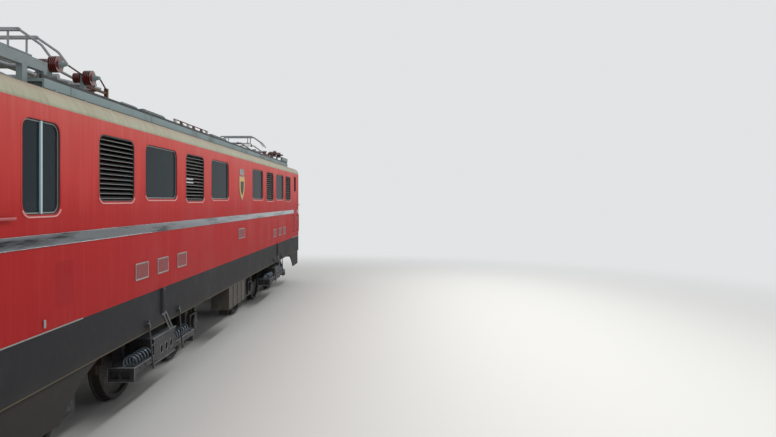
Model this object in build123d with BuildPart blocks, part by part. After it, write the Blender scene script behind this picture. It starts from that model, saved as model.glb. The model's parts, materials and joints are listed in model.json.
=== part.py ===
from build123d import *
import os
from math import asin, cos, radians, sin

# A six-axle electric locomotive of the 1950s, as an assembly of separate pieces.
# X runs along the locomotive, +Y to one side, +Z up, in millimetres. The origin is on the
# floor under the middle. Both ends are alike: one end is the other turned half round.

os.makedirs("parts", exist_ok=True)

# Heights in the tables below are taken from the top of the rail, as on a works drawing.
flange_height = 30
rail = flange_height

# Whole vehicle
over_buffers = 18400
body_width = 2970
half_width = body_width / 2
straight_side = 8120
nose_tip = 8600
lip_z = rail + 1040
waist_z = rail + 1528
strip_low_z = rail + 2287
strip_high_z = rail + 2398
cantrail_z = rail + 3549
cove_top_z = rail + 3750
cove_inset = 190
roof_crown_z = rail + 3835
wall = 60
roof_wall = 50
skirt_wall = 30
floor_top_z = rail + 1500
floor_thick = 60
floor_low_z = floor_top_z - floor_thick
fit = 0.3
seal = 5
pin_play = 0.05

# Running gear
bogie_centres = 8700
axle_pitch = 2150
wheel_diameter = 1260
gauge = 1435
axle_z = rail + wheel_diameter / 2
tread_radius = wheel_diameter / 2
flange_radius = tread_radius + flange_height
flange_back_y = gauge / 2 - 37.5
tyre_width = 140
axle_radius = 95
journal_radius = 75
frame_in_y = 985
frame_out_y = 1125
frame_low_z = 880
frame_high_z = 1130
frame_half = 3060
transom_at = 1075
transom_width = 200

ends = (-1, 1)
sides = (-1, 1)

# Cutting boxes reach past everything
past_x = over_buffers
past_y = body_width
past_z = roof_crown_z + 2000
all_x = (-past_x, past_x)
all_y = (-past_y, past_y)
all_z = (0, past_z)


def block(x, y, z, mode=Mode.ADD):
    """A box between two values on each axis."""
    with Locations(((x[0] + x[1]) / 2, (y[0] + y[1]) / 2, (z[0] + z[1]) / 2)):
        Box(abs(x[1] - x[0]), abs(y[1] - y[0]), abs(z[1] - z[0]), mode=mode)


def rod(start, end, radius, mode=Mode.ADD):
    """A round bar between two points."""
    run = Vector(*end) - Vector(*start)
    with BuildSketch(Plane(origin=start, z_dir=run)) as section:
        Circle(radius)
    extrude(section.sketch, amount=run.length, mode=mode)


def save(builder, name):
    """Labels a finished piece and writes it out."""
    builder.part.label = name
    export_step(builder.part, "parts/" + name + ".step")


def cross_section(inset):
    """The body's outline across: upright side, a cove and a nearly flat roof, from the waist up."""
    side = half_width - inset
    brow = half_width - cove_inset - inset * 0.6
    low = floor_low_z
    with BuildSketch(Plane.YZ) as section:
        with BuildLine():
            Polyline((-side, cantrail_z), (-side, low), (side, low), (side, cantrail_z))
            ThreePointArc(
                (side, cantrail_z),
                ((side + brow) / 2 + 28, (cantrail_z + cove_top_z - inset) / 2 + 26),
                (brow, cove_top_z - inset),
            )
            ThreePointArc(
                (brow, cove_top_z - inset),
                (0, roof_crown_z - inset),
                (-brow, cove_top_z - inset),
            )
            ThreePointArc(
                (-brow, cove_top_z - inset),
                (-(side + brow) / 2 - 28, (cantrail_z + cove_top_z - inset) / 2 + 26),
                (-side, cantrail_z),
            )
        make_face()
    return section.sketch


# The nose in plan: the side tapers in, turns a round corner and crosses the front in a flat arc.
taper_x = 8345
taper_y = 1395
front_corner_x = 8490
front_corner_y = 1150


def nose_plan(end, inset, back=7000):
    """The nose seen from above, from a cut at back to the tip, at one end."""
    side = half_width - inset
    with BuildSketch(Plane.XY) as plan:
        with BuildLine():
            for flank in sides:
                Line((end * back, 0), (end * back, flank * side))
                Line((end * back, flank * side), (end * straight_side, flank * side))
                corner = (end * (taper_x - inset * 0.6), flank * (taper_y - inset))
                Line((end * straight_side, flank * side), corner)
                ThreePointArc(
                    corner,
                    (end * (taper_x - inset * 0.8 + 95), flank * (taper_y - inset * 0.8 - 85)),
                    (end * (front_corner_x - inset), flank * (front_corner_y - inset * 0.6)),
                )
            ThreePointArc(
                (end * (front_corner_x - inset), front_corner_y - inset * 0.6),
                (end * (nose_tip - inset), 0),
                (end * (front_corner_x - inset), -front_corner_y + inset * 0.6),
            )
        make_face()
    return plan.sketch


# The nose in side view: upright to the waist strip, a raked windscreen and a rounded brow.
rake_z = rail + 2400
brow_x = 8440
brow_z = rail + 3400


def nose_profile(end, inset):
    """The nose seen from the side, open at the back."""
    with BuildSketch(Plane.XZ) as profile:
        with BuildLine():
            Polyline(
                (end * 7000, roof_crown_z + 50 - inset),
                (end * 7000, floor_low_z),
                (end * (nose_tip + 20 - inset), floor_low_z),
                (end * (nose_tip + 20 - inset), rake_z),
                (end * (brow_x - inset), brow_z - inset * 0.3),
            )
            ThreePointArc(
                (end * (brow_x - inset), brow_z - inset * 0.3),
                (end * (brow_x - 78 - inset * 0.8), brow_z + 300 - inset * 0.7),
                (end * (brow_x - 320 - inset * 0.4), roof_crown_z + 5 - inset),
            )
            Line(
                (end * (brow_x - 320 - inset * 0.4), roof_crown_z + 5 - inset),
                (end * 7000, roof_crown_z + 50 - inset),
            )
        make_face()
    return profile.sketch


def nose_form(end, inset, low):
    """The closed form of the nose, drawn in by inset all over, as a loose solid."""
    with BuildPart() as form:
        extrude(nose_plan(end, inset), amount=roof_crown_z + 200)
        extrude(nose_profile(end, inset), amount=half_width + 50, both=True, mode=Mode.INTERSECT)
        extrude(cross_section(inset), amount=nose_tip + 100, both=True, mode=Mode.INTERSECT)
        block(all_x, all_y, (0, low), Mode.SUBTRACT)
        block((-straight_side, straight_side), all_y, all_z, Mode.SUBTRACT)
    return form.part


# Lights along each side, from the driver's end.
# kind, centre, width, bottom over rail, top over rail
side_lights = (
    ("driver", -7500, 640, 2558, 3418),
    ("louvre", -5950, 950, 2670, 3418),
    ("window", -4555, 1200, 2700, 3418),
    ("louvre", -3107, 950, 2670, 3418),
    ("window", -1625, 1200, 2700, 3418),
    ("window", 1625, 1200, 2700, 3418),
    ("louvre", 3107, 950, 2670, 3418),
    ("window", 4555, 1200, 2700, 3418),
    ("louvre", 5950, 950, 2670, 3418),
)
light_corner = 120
door_at = 7400
door_width = 700
door_low_z = waist_z + 32
door_high_z = rail + 3460
door_free_gap = 9
door_pin_radius = 12
door_pin_length = 20


def light_outline(side, light, shrink):
    """One side window's rounded outline, standing on the outer face of its side."""
    centre = (-side * light[1], rail + (light[3] + light[4]) / 2)
    with BuildSketch(Plane.XZ.offset(-side * half_width)) as outline:
        with Locations(centre):
            RectangleRounded(
                light[2] - 2 * shrink, light[4] - light[3] - 2 * shrink, light_corner - shrink
            )
    return outline.sketch


def side_panel(side):
    """One long side wall with its lights and the doorway cut, in sheets that meet at the jambs."""
    inner = side * (half_width - wall)
    outer = side * half_width
    door_x = -side * door_at
    hinge_x = -side * (door_at - door_width / 2 + seal + wall / 2)
    with BuildPart() as panel:
        block((-straight_side, straight_side), (inner, outer), (waist_z, cantrail_z))
        for light in side_lights:
            extrude(light_outline(side, light, 0), amount=side * wall, mode=Mode.SUBTRACT)
        block(
            (door_x - door_width / 2, door_x + door_width / 2),
            (side * (half_width - 2 * wall), side * (half_width + wall)),
            (door_low_z - seal, door_high_z + seal),
            Mode.SUBTRACT,
        )
        for z, way in ((door_low_z, -1), (door_high_z, 1)):
            rod(
                (hinge_x, side * (half_width - wall / 2), z),
                (hinge_x, side * (half_width - wall / 2), z + way * (seal + door_pin_length)),
                door_pin_radius + pin_play,
                Mode.SUBTRACT,
            )
        for jamb_x in (door_x - door_width / 2, door_x + door_width / 2):
            split(bisect_by=Plane.YZ.offset(jamb_x), keep=Keep.BOTH)
    return panel


save(side_panel(-1), "side_wall_right")
save(side_panel(1), "side_wall_left")

# Skirts hang under the side walls, outside the sole bars
with BuildPart() as skirts:
    for side in sides:
        block(
            (-straight_side, straight_side),
            (side * (half_width - skirt_wall), side * half_width),
            (lip_z, waist_z),
        )
save(skirts, "skirts")

# Underframe: floor, sole bars, cross members, headstocks with the end skirts, and king pins
sole_in_y = 1300
sole_lap = 60
sole_low_z = rail + 1240
headstock_low_z = rail + 800
headstock_back = 8300
beam_face = nose_tip + 12
beam_half = 1150
beam_high_z = rail + 1290
king_pin_radius = 120
king_pin_low_z = 1150
bolster_width = 220
stringer_half = 200
cross_half = 90
cross_pitch = 1500
cross_reach = sole_in_y + 20


def end_pocket(end):
    """The room inside one end skirt, below the floor."""
    with BuildPart() as pocket:
        extrude(nose_plan(end, skirt_wall), amount=waist_z)
        block(all_x, all_y, (floor_low_z, floor_top_z), Mode.SUBTRACT)
        block((end * headstock_back, end * past_x), all_y, (0, floor_low_z), Mode.SUBTRACT)
    return pocket.part


def end_skirt(end):
    """The skirt round one nose with the end of the floor and the headstock."""
    with BuildPart() as skirt:
        extrude(nose_plan(end, 0), amount=waist_z)
        block((-headstock_back, headstock_back), all_y, (0, lip_z), Mode.SUBTRACT)
        block(all_x, all_y, (0, headstock_low_z), Mode.SUBTRACT)
        block((-straight_side, straight_side), all_y, all_z, Mode.SUBTRACT)
        add(end_pocket(end), mode=Mode.SUBTRACT)
        block(
            (end * headstock_back, end * beam_face),
            (-beam_half, beam_half),
            (headstock_low_z, beam_high_z),
        )
    return skirt.part


with BuildPart() as underframe:
    block(
        (-straight_side, straight_side),
        (-(half_width - skirt_wall), half_width - skirt_wall),
        (floor_low_z, floor_top_z),
    )
    for side in sides:
        block(
            (-straight_side - sole_lap, straight_side + sole_lap),
            (side * sole_in_y, side * (half_width - skirt_wall)),
            (sole_low_z, waist_z),
        )
    for cross in (-cross_pitch, 0, cross_pitch):
        block(
            (cross - cross_half, cross + cross_half),
            (-cross_reach, cross_reach),
            (sole_low_z, floor_top_z),
        )
    for end in ends:
        pivot = end * bogie_centres / 2
        for way in (-1, 1):
            middle = pivot + way * transom_at
            block(
                (middle - bolster_width / 2, middle + bolster_width / 2),
                (-cross_reach, cross_reach),
                (sole_low_z, floor_top_z),
            )
        block(
            (pivot - transom_at, pivot + transom_at),
            (-stringer_half, stringer_half),
            (sole_low_z, floor_top_z),
        )
        rod((pivot, 0, king_pin_low_z), (pivot, 0, floor_low_z), king_pin_radius - pin_play)
        add(end_skirt(end))
save(underframe, "underframe")

# Roof between the noses: one curved skin
with BuildPart() as roof:
    extrude(cross_section(0), amount=straight_side, both=True)
    extrude(cross_section(roof_wall), amount=straight_side, both=True, mode=Mode.SUBTRACT)
    block(all_x, all_y, (0, cantrail_z), Mode.SUBTRACT)
save(roof, "roof")

# Noses: the front walls with their windscreens
screen_low_z = rail + 2520
screen_high_z = rail + 3330
screen_in_y = 70
screen_out_y = 1060
screen_corner = 110
screen_back_x = brow_x - 260
screen_reach = 500


def screen_cut(end, shrink):
    """Both windscreens of one end as long bars along the locomotive."""
    with BuildPart() as bars:
        with BuildSketch(Plane.YZ.offset(end * screen_back_x)) as holes:
            for flank in sides:
                middle_y = flank * (screen_in_y + screen_out_y) / 2
                with Locations((middle_y, (screen_low_z + screen_high_z) / 2)):
                    RectangleRounded(
                        screen_out_y - screen_in_y - 2 * shrink,
                        screen_high_z - screen_low_z - 2 * shrink,
                        screen_corner - shrink,
                    )
        extrude(holes.sketch, amount=end * screen_reach)
    return bars.part


def nose_shell(end):
    """The welded front of one cab, from the waist to the roof."""
    with BuildPart() as shell:
        add(nose_form(end, 0, waist_z))
        add(nose_form(end, roof_wall, waist_z - 5), mode=Mode.SUBTRACT)
        add(screen_cut(end, 0), mode=Mode.SUBTRACT)
    return shell


save(nose_shell(-1), "nose_front")
save(nose_shell(1), "nose_rear")

# Polished strips round the body under the windows, left out across the doorways
strip_proud = 6

with BuildPart() as chrome_strips:
    for end in ends:
        extrude(nose_plan(end, -strip_proud, 0), amount=strip_high_z)
    for end in ends:
        extrude(nose_plan(end, -fit, 0), amount=strip_high_z, mode=Mode.SUBTRACT)
    block(all_x, all_y, (0, strip_low_z), Mode.SUBTRACT)
    for side in sides:
        block(
            (-side * (door_at - door_width / 2), -side * (door_at + door_width / 2)),
            (side * (half_width - wall), side * past_y),
            all_z,
            Mode.SUBTRACT,
        )
save(chrome_strips, "chrome_strips")

# Glass: panes along the sides and in the windscreens
glass_thick = 10
glass_set_in = 25
screen_glass_out = 18
screen_glass_in = screen_glass_out + 12

with BuildPart() as side_glass:
    for side in sides:
        for light in side_lights:
            if light[0] != "louvre":
                outline = light_outline(side, light, fit)
                pane = extrude(outline, amount=side * (glass_set_in + glass_thick), mode=Mode.PRIVATE)
                front = extrude(outline, amount=side * glass_set_in, mode=Mode.PRIVATE)
                add(pane - front)
save(side_glass, "side_glass")

with BuildPart() as windscreens:
    for end in ends:
        skin = nose_form(end, screen_glass_out, waist_z) - nose_form(end, screen_glass_in, waist_z - 5)
        add(skin & screen_cut(end, fit))
save(windscreens, "windscreens")

# Louvred grilles: a frame with slanting slats
slat_pitch = 50
slat_depth = 40
slat_thick = 5
slat_tilt_deg = 38
slat_lap = 16
grille_rim = 34
grille_depth = 46

louvre = side_lights[1]
louvre_width = louvre[2]
louvre_height = louvre[4] - louvre[3]
louvre_z = rail + (louvre[3] + louvre[4]) / 2
slat_room = louvre_height - 2 * grille_rim
slat_count = int(slat_room / slat_pitch)

with BuildPart() as grille:
    with BuildSketch(Plane.XZ) as rim:
        RectangleRounded(louvre_width - 2 * fit, louvre_height - 2 * fit, light_corner - fit)
    with BuildSketch(Plane.XZ) as rim_hole:
        RectangleRounded(
            louvre_width - 2 * grille_rim, louvre_height - 2 * grille_rim, light_corner - grille_rim
        )
    extrude(rim.sketch, amount=-grille_depth)
    extrude(rim_hole.sketch, amount=-grille_depth, mode=Mode.SUBTRACT)
    rows = [
        Location(
            (0, grille_depth / 2, ((row + 0.5) / slat_count - 0.5) * slat_room), (slat_tilt_deg, 0, 0)
        )
        for row in range(slat_count)
    ]
    with Locations(rows):
        Box(louvre_width - 2 * grille_rim + slat_lap, slat_depth, slat_thick)
    extrude(rim.sketch, amount=-grille_depth, mode=Mode.INTERSECT)

with BuildPart() as louvres:
    for side, turn in ((-1, 0), (1, 180)):
        for light in side_lights:
            if light[0] == "louvre":
                place = Location((-side * light[1], side * half_width, louvre_z), (0, 0, turn))
                add(grille.part.moved(place), clean=False)
save(louvres, "louvres")

# Doors: one at each end, on the side away from the driver, swinging in on two pins
door_light_width = 410
door_light_height = 500
door_light_corner = 90
door_light_z = rail + 3210
door_light_shift = 60


def door_leaf(side):
    """A flush door with its window cut, its length of strip and the hinge edge half round."""
    hinge_x = -side * (door_at - door_width / 2 + seal + wall / 2)
    free_x = -side * (door_at + door_width / 2 - door_free_gap)
    middle_y = side * (half_width - wall / 2)
    with BuildPart() as leaf:
        block(
            (hinge_x, free_x),
            (side * (half_width - wall), side * half_width),
            (door_low_z, door_high_z),
        )
        rod((hinge_x, middle_y, door_low_z), (hinge_x, middle_y, door_high_z), wall / 2)
        for z, way in ((door_low_z, -1), (door_high_z, 1)):
            rod(
                (hinge_x, middle_y, z - way),
                (hinge_x, middle_y, z + way * (seal + door_pin_length - 1)),
                door_pin_radius,
            )
        block(
            (hinge_x, free_x),
            (side * (half_width - 1), side * (half_width + strip_proud)),
            (strip_low_z, strip_high_z),
        )
        with BuildSketch(Plane.XZ.offset(-side * half_width)) as hole:
            with Locations((-side * (door_at - door_light_shift), door_light_z)):
                RectangleRounded(door_light_width, door_light_height, door_light_corner)
        extrude(hole.sketch, amount=side * wall, mode=Mode.SUBTRACT)
    return leaf


save(door_leaf(1), "door_front")
save(door_leaf(-1), "door_rear")

# Handrails beside the doors and round the corners of the noses
grip_radius = 14
grip_out = 45
grip_low_z = rail + 1700
grip_high_z = rail + 2240
grip_from_door = 75
corner_grip_z = rail + 2550
corner_grip_back = 7960
corner_grip_front = 8280
corner_grip_y = half_width + 34
corner_grip_fall = 30


def upright_grip(x, side):
    """An upright rail on two short feet at the side wall."""
    y = side * (half_width + grip_out)
    with BuildPart() as grip:
        rod((x, y, grip_low_z), (x, y, grip_high_z), grip_radius)
        for z in (grip_low_z + 2 * grip_radius, grip_high_z - 2 * grip_radius):
            rod((x, side * half_width, z), (x, y, z), grip_radius - 3)
    return grip.part


def corner_grip(end, side):
    """A level rail along one corner of a nose, leaning in with it, on two feet."""
    y_back = side * corner_grip_y
    y_front = side * (corner_grip_y - corner_grip_fall)
    with BuildPart() as grip:
        rod(
            (end * corner_grip_back, y_back, corner_grip_z),
            (end * corner_grip_front, y_front, corner_grip_z),
            grip_radius,
        )
        for x, root, y in (
            (corner_grip_back + 30, side * half_width, y_back),
            (corner_grip_front - 30, y_front - side * 80, y_front),
        ):
            rod((end * x, root, corner_grip_z), (end * x, y, corner_grip_z), grip_radius - 3)
        add(nose_form(end, -fit, waist_z), mode=Mode.SUBTRACT)
    return grip.part


with BuildPart() as handrails:
    for side in sides:
        for way in (-1, 1):
            add(upright_grip(-side * (door_at + way * (door_width / 2 + grip_from_door)), side))
    for end in ends:
        for side in sides:
            add(corner_grip(end, side))
save(handrails, "handrails")

# Cab back walls
bulkhead_at = 6980
bulkhead_thick = 40

with BuildPart() as cab_back_walls:
    for end in ends:
        extrude(cross_section(wall + fit), amount=end * (bulkhead_at + bulkhead_thick / 2))
    block(
        (-(bulkhead_at - bulkhead_thick / 2), bulkhead_at - bulkhead_thick / 2),
        all_y,
        all_z,
        Mode.SUBTRACT,
    )
    block(all_x, all_y, (0, waist_z), Mode.SUBTRACT)
save(cab_back_walls, "cab_back_walls")

# Driving desks fill the foot of each nose, over a knee space
desk_back = 8120
desk_top_z = rail + 2380
knee_depth = 180
knee_half = 1000
desk_rim = 180


def desk(end):
    """The desk of one cab, closed to the nose, with the room for the knees cut out."""
    with BuildPart() as top:
        add(nose_form(end, roof_wall + fit, floor_top_z))
        block(all_x, all_y, (desk_top_z, past_z), Mode.SUBTRACT)
        block((-desk_back, desk_back), all_y, all_z, Mode.SUBTRACT)
        block(
            (end * (desk_back - 10), end * (desk_back + knee_depth)),
            (-knee_half, knee_half),
            (0, desk_top_z - desk_rim),
            Mode.SUBTRACT,
        )
        for flank in sides:
            block(
                (end * straight_side, end * (straight_side + sole_lap)),
                (flank * sole_in_y, flank * half_width),
                (0, waist_z),
                Mode.SUBTRACT,
            )
    return top.part


with BuildPart() as driving_desks:
    for end in ends:
        add(desk(end))
save(driving_desks, "driving_desks")

# Seats: a pedestal, a cushion and a back, for the driver and the second man
seat_at = 7740
seat_y = 620
seat_half = 230
seat_back_thick = 90
cushion_low_z = floor_top_z + 420
cushion_high_z = floor_top_z + 530
seat_high_z = floor_top_z + 1030
pedestal_radius = 60

with BuildPart() as seats:
    for end in ends:
        for flank in sides:
            y = flank * seat_y
            across = (y - seat_half, y + seat_half)
            back_x = end * (seat_at - seat_half)
            rod((end * seat_at, y, floor_top_z), (end * seat_at, y, cushion_low_z + 10), pedestal_radius)
            block((back_x, end * (seat_at + seat_half)), across, (cushion_low_z, cushion_high_z))
            block((back_x, back_x + end * seat_back_thick), across, (cushion_high_z - 10, seat_high_z))
save(seats, "seats")

# The transformer stands on the floor in the middle
tank_half_length = 1300
tank_half_width = 850
tank_height = 1500

with BuildPart() as transformer:
    block(
        (-tank_half_length, tank_half_length),
        (-tank_half_width, tank_half_width),
        (floor_top_z, floor_top_z + tank_height),
    )
save(transformer, "transformer")

# Boxes and air reservoirs hung between the bogies
box_back = -940
box_front = 430
box_in_y = 1120
box_low_z = rail + 600

with BuildPart() as side_boxes:
    for side in sides:
        block(
            (side * -box_back, side * -box_front),
            (side * box_in_y, side * (half_width - skirt_wall - seal)),
            (box_low_z, sole_low_z),
        )
save(side_boxes, "side_boxes")

reservoir_radius = 190
reservoir_half = 950
reservoir_y = 560
reservoir_z = rail + 900
hanger_at = 810
hanger_half = 30
hanger_reach = 110

with BuildPart() as air_reservoirs:
    for flank in sides:
        y = flank * reservoir_y
        rod((-reservoir_half, y, reservoir_z), (reservoir_half, y, reservoir_z), reservoir_radius)
        for x in (-hanger_at, hanger_at):
            block(
                (x - hanger_half, x + hanger_half),
                (y - hanger_reach, y + hanger_reach),
                (reservoir_z + 100, floor_low_z),
            )
save(air_reservoirs, "air_reservoirs")

# Aprons close the ends under the skirts, cut away in an arc behind
apron_out = 30
apron_thick = 25
apron_low_z = rail + 605
apron_start = 6290
apron_foot = 7155
apron_bulge = 210
apron_back = apron_start - 450


def apron(end):
    """Both flanks of one end's apron, from the arc to the headstock."""
    with BuildPart() as plates:
        extrude(nose_plan(end, apron_out, apron_back), amount=lip_z)
        extrude(
            nose_plan(end, apron_out + apron_thick, apron_back - 100), amount=lip_z, mode=Mode.SUBTRACT
        )
        block(all_x, all_y, (0, apron_low_z), Mode.SUBTRACT)
        block((end * headstock_back, end * past_x), all_y, all_z, Mode.SUBTRACT)
        block((-apron_start, apron_start), all_y, all_z, Mode.SUBTRACT)
        with BuildSketch(Plane.XZ) as corner:
            with BuildLine():
                Line((end * apron_back, lip_z), (end * apron_start, lip_z))
                ThreePointArc(
                    (end * apron_start, lip_z),
                    (end * (apron_start + 540), lip_z - apron_bulge),
                    (end * apron_foot, apron_low_z),
                )
                Polyline(
                    (end * apron_foot, apron_low_z),
                    (end * apron_foot, 0),
                    (end * apron_back, 0),
                    (end * apron_back, lip_z),
                )
            make_face()
        extrude(corner.sketch, amount=past_y, both=True, mode=Mode.SUBTRACT)
    return plates.part


with BuildPart() as aprons:
    for end in ends:
        add(apron(end))
save(aprons, "aprons")

# Fittings on the skirts: a capped channel with two slanting links, and two slender poles with
# knobs, near the middle of each bogie
channel_at = 230
channel_half = 24
channel_proud = 32
channel_low_z = rail + 1195
channel_cap = 10
link_top_z = rail + 1200
link_foot_z = rail + 905
link_at = 210
link_run = 290
link_half = 16
link_thick = 9
link_y = half_width + 10
link_pitch = 100
pole_at = (-370, 770)
pole_lean = -165
pole_out = 30
pole_radius = 11
knob_radius = 18
pole_low_z = rail + 550
pole_high_z = rail + 1180
clamp_z = rail + 1120


def slanting_link(start):
    """A flat bar that runs down and along from one end of its slope."""
    with BuildPart() as bar:
        with BuildSketch(Plane.XZ.offset(-link_y)) as edge:
            with BuildLine():
                Polyline(
                    (start - link_half, link_top_z), (start + link_half, link_top_z),
                    (start + link_half - link_run, link_foot_z),
                    (start - link_half - link_run, link_foot_z),
                    (start - link_half, link_top_z),
                )
            make_face()
        extrude(edge.sketch, amount=link_thick)
    return bar.part


def skirt_set():
    """One side's channel, links and poles, about the bogie's middle on the +Y side."""
    with BuildPart() as fittings:
        block(
            (channel_at - channel_half, channel_at + channel_half),
            (half_width, half_width + channel_proud),
            (channel_low_z, waist_z),
        )
        block(
            (channel_at - channel_half + 8, channel_at + channel_half - 8),
            (half_width + 8, half_width + channel_proud + 1),
            (channel_low_z - 1, waist_z - 30),
            Mode.SUBTRACT,
        )
        block(
            (channel_at - channel_half - channel_cap, channel_at + channel_half + channel_cap),
            (half_width, half_width + channel_proud + channel_cap),
            (waist_z - channel_cap, waist_z),
        )
        for start in (link_at, link_at - link_pitch):
            add(slanting_link(start))
        block(
            (link_at - link_pitch - link_half, channel_at + channel_half),
            (half_width, link_y),
            (link_top_z - 40, link_top_z),
        )
        for x in pole_at:
            y = half_width + pole_out
            foot = (x + pole_lean, y, pole_low_z)
            rod(foot, (x, y, pole_high_z), pole_radius)
            with Locations((x, y, pole_high_z)):
                Sphere(knob_radius)
            clamp_x = x + pole_lean * (pole_high_z - clamp_z) / (pole_high_z - pole_low_z)
            block(
                (clamp_x - 24, clamp_x + 24),
                (half_width, y + pole_radius + 6),
                (clamp_z - 20, clamp_z + 20),
            )
        rod(
            (pole_at[1] - 215, half_width + pole_out, rail + 862),
            (pole_at[1] - 75, half_width + pole_out, rail + 850),
            7,
        )
    return fittings.part


one_set = skirt_set()
with BuildPart() as skirt_fittings:
    for end in ends:
        for turn in (0, 180):
            add(one_set.moved(Location((end * bogie_centres / 2, 0, 0), (0, 0, turn))), clean=False)
save(skirt_fittings, "skirt_fittings")

# Buffers and draw hooks on the headstocks
buffer_spread = 1750
buffer_z = rail + 1050
buffer_radius = 225
face = over_buffers / 2 - beam_face
buffer_dome = 28
dome_radius = (buffer_radius**2 + buffer_dome**2) / (2 * buffer_dome)
dome_half = asin(buffer_radius / dome_radius) / 2
flange_plate = 22
flange_plate_radius = 190
sleeve_end = 330
sleeve_radius = 125
plunger_radius = 95


def buffer_body():
    """A buffer along +X: flange plate, sleeve, plunger and a slightly domed head."""
    with BuildPart() as buffer:
        with BuildSketch(Plane.XZ) as half:
            with BuildLine():
                Polyline(
                    (0, 0), (0, flange_plate_radius), (flange_plate, flange_plate_radius),
                    (flange_plate, sleeve_radius), (sleeve_end, sleeve_radius),
                    (sleeve_end, plunger_radius), (face - 55, plunger_radius),
                    (face - 45, buffer_radius), (face - buffer_dome, buffer_radius),
                )
                ThreePointArc(
                    (face - buffer_dome, buffer_radius),
                    (face - dome_radius * (1 - cos(dome_half)), dome_radius * sin(dome_half)),
                    (face, 0),
                )
                Line((face, 0), (0, 0))
            make_face()
        revolve(half.sketch, axis=Axis.X)
    return buffer.part


one_buffer = buffer_body()
with BuildPart() as buffers:
    for end, turn in ((-1, 180), (1, 0)):
        for flank in sides:
            place = Location((end * beam_face, flank * buffer_spread / 2, buffer_z), (0, 0, turn))
            add(one_buffer.moved(place), clean=False)
save(buffers, "buffers")

with BuildPart() as draw_hooks:
    for end in ends:
        with BuildSketch(Plane.XZ) as hook:
            with BuildLine():
                Polyline(
                    (end * beam_face, buffer_z - 45), (end * (beam_face + 150), buffer_z - 45),
                    (end * (beam_face + 175), buffer_z - 120), (end * (beam_face + 290), buffer_z - 120),
                    (end * (beam_face + 330), buffer_z - 40), (end * (beam_face + 330), buffer_z + 60),
                    (end * (beam_face + 285), buffer_z + 60), (end * (beam_face + 270), buffer_z - 30),
                    (end * (beam_face + 215), buffer_z - 50), (end * (beam_face + 190), buffer_z + 45),
                    (end * beam_face, buffer_z + 45), (end * beam_face, buffer_z - 45),
                )
            make_face()
        extrude(hook.sketch, amount=30, both=True)
        block((end * beam_face, end * (beam_face + 25)), (-120, 120), (buffer_z - 120, buffer_z + 120))
save(draw_hooks, "draw_hooks")

# Headlamps: two low and one high on each front
lamp_radius = 115
lamp_spread = 1900
lamp_low_z = rail + 1860
lamp_high_z = rail + 3545
lamp_length = 250
lamp_proud = 30
high_lamp_x = brow_x + 90


def lamp(end, y, z, front):
    """A round lamp body that stands out of the nose."""
    with BuildPart() as body:
        rod((end * (front - lamp_length), y, z), (end * front, y, z), lamp_radius)
        add(nose_form(end, 0, waist_z), mode=Mode.SUBTRACT)
    return body.part


with BuildPart() as headlamps:
    for end in ends:
        for y, z, front in (
            (-lamp_spread / 2, lamp_low_z, nose_tip + lamp_proud),
            (lamp_spread / 2, lamp_low_z, nose_tip + lamp_proud),
            (0, lamp_high_z, high_lamp_x),
        ):
            add(lamp(end, y, z, front))
save(headlamps, "headlamps")

# Bogies
# Each bogie is built about its own middle and moved under the body.
wheel_at = (-axle_pitch, 0, axle_pitch)
pedestal_in = 190
pedestal_out = 300
stay_low_z = 440
pedestal_low_z = 480
centre_beam_low_z = 1100
centre_beam_high_z = 1240
rail_guard_in = 690
rail_guard_out = 880
rail_guard_low_z = rail + 120


def bogie_frame(middle):
    """A welded frame outside the wheels with legs each side of every axle box."""
    with BuildPart() as frame:
        for flank in sides:
            y = (flank * frame_in_y, flank * frame_out_y)
            block((middle - frame_half, middle + frame_half), y, (frame_low_z, frame_high_z))
            for axle in wheel_at:
                for way in (-1, 1):
                    leg = (middle + axle + way * pedestal_in, middle + axle + way * pedestal_out)
                    block(leg, y, (pedestal_low_z - 1, frame_low_z + 1))
                block(
                    (middle + axle - pedestal_out, middle + axle + pedestal_out),
                    y,
                    (stay_low_z, pedestal_low_z),
                )
        for way in (-1, 1):
            near = middle + way * (transom_at - transom_width / 2)
            far = middle + way * (transom_at + transom_width / 2)
            block((near, far), (-frame_in_y - 1, frame_in_y + 1), (frame_low_z, frame_high_z))
            block(
                (middle + way * (frame_half - 100), middle + way * frame_half),
                (-frame_in_y - 1, frame_in_y + 1),
                (frame_low_z, frame_high_z - 50),
            )
            for flank in sides:
                block(
                    (middle + way * frame_half, middle + way * (frame_half + 20)),
                    (flank * rail_guard_in, flank * rail_guard_out),
                    (rail_guard_low_z, frame_high_z - 50),
                )
                block(
                    (near, far), (flank * (frame_in_y + 20), flank * frame_out_y),
                    (frame_high_z - 1, sole_low_z - seal),
                )
        block(
            (middle - transom_at, middle + transom_at),
            (-stringer_half, stringer_half),
            (centre_beam_low_z, centre_beam_high_z),
        )
        rod((middle, 0, 1000), (middle, 0, 1300), king_pin_radius, Mode.SUBTRACT)
    return frame


# Spring gear along each side of a bogie: a plate with three oval holes, a shelf over it and two
# ribbed arms that end in boxes
plate_half = 410
gear_near = 1050
gear_far = 1280
gear_out_y = 1450
gear_thick = 30
gear_low_z = rail + 550
shelf_z = rail + 868
shelf_thick = 20
oval_pitch = 185
oval_z = rail + 695
oval_shift = -50
oval_width = 92
oval_height = 120
arm_low_z = rail + 590
arm_high_z = rail + 670
arm_in_y = 1130
rib_pitch = 46
rib_first = 450
rib_tilt_deg = 35
end_box_low_z = rail + 500
end_box_in_y = 1120
end_box_length = 60
hanger_in_y = 1010


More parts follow.
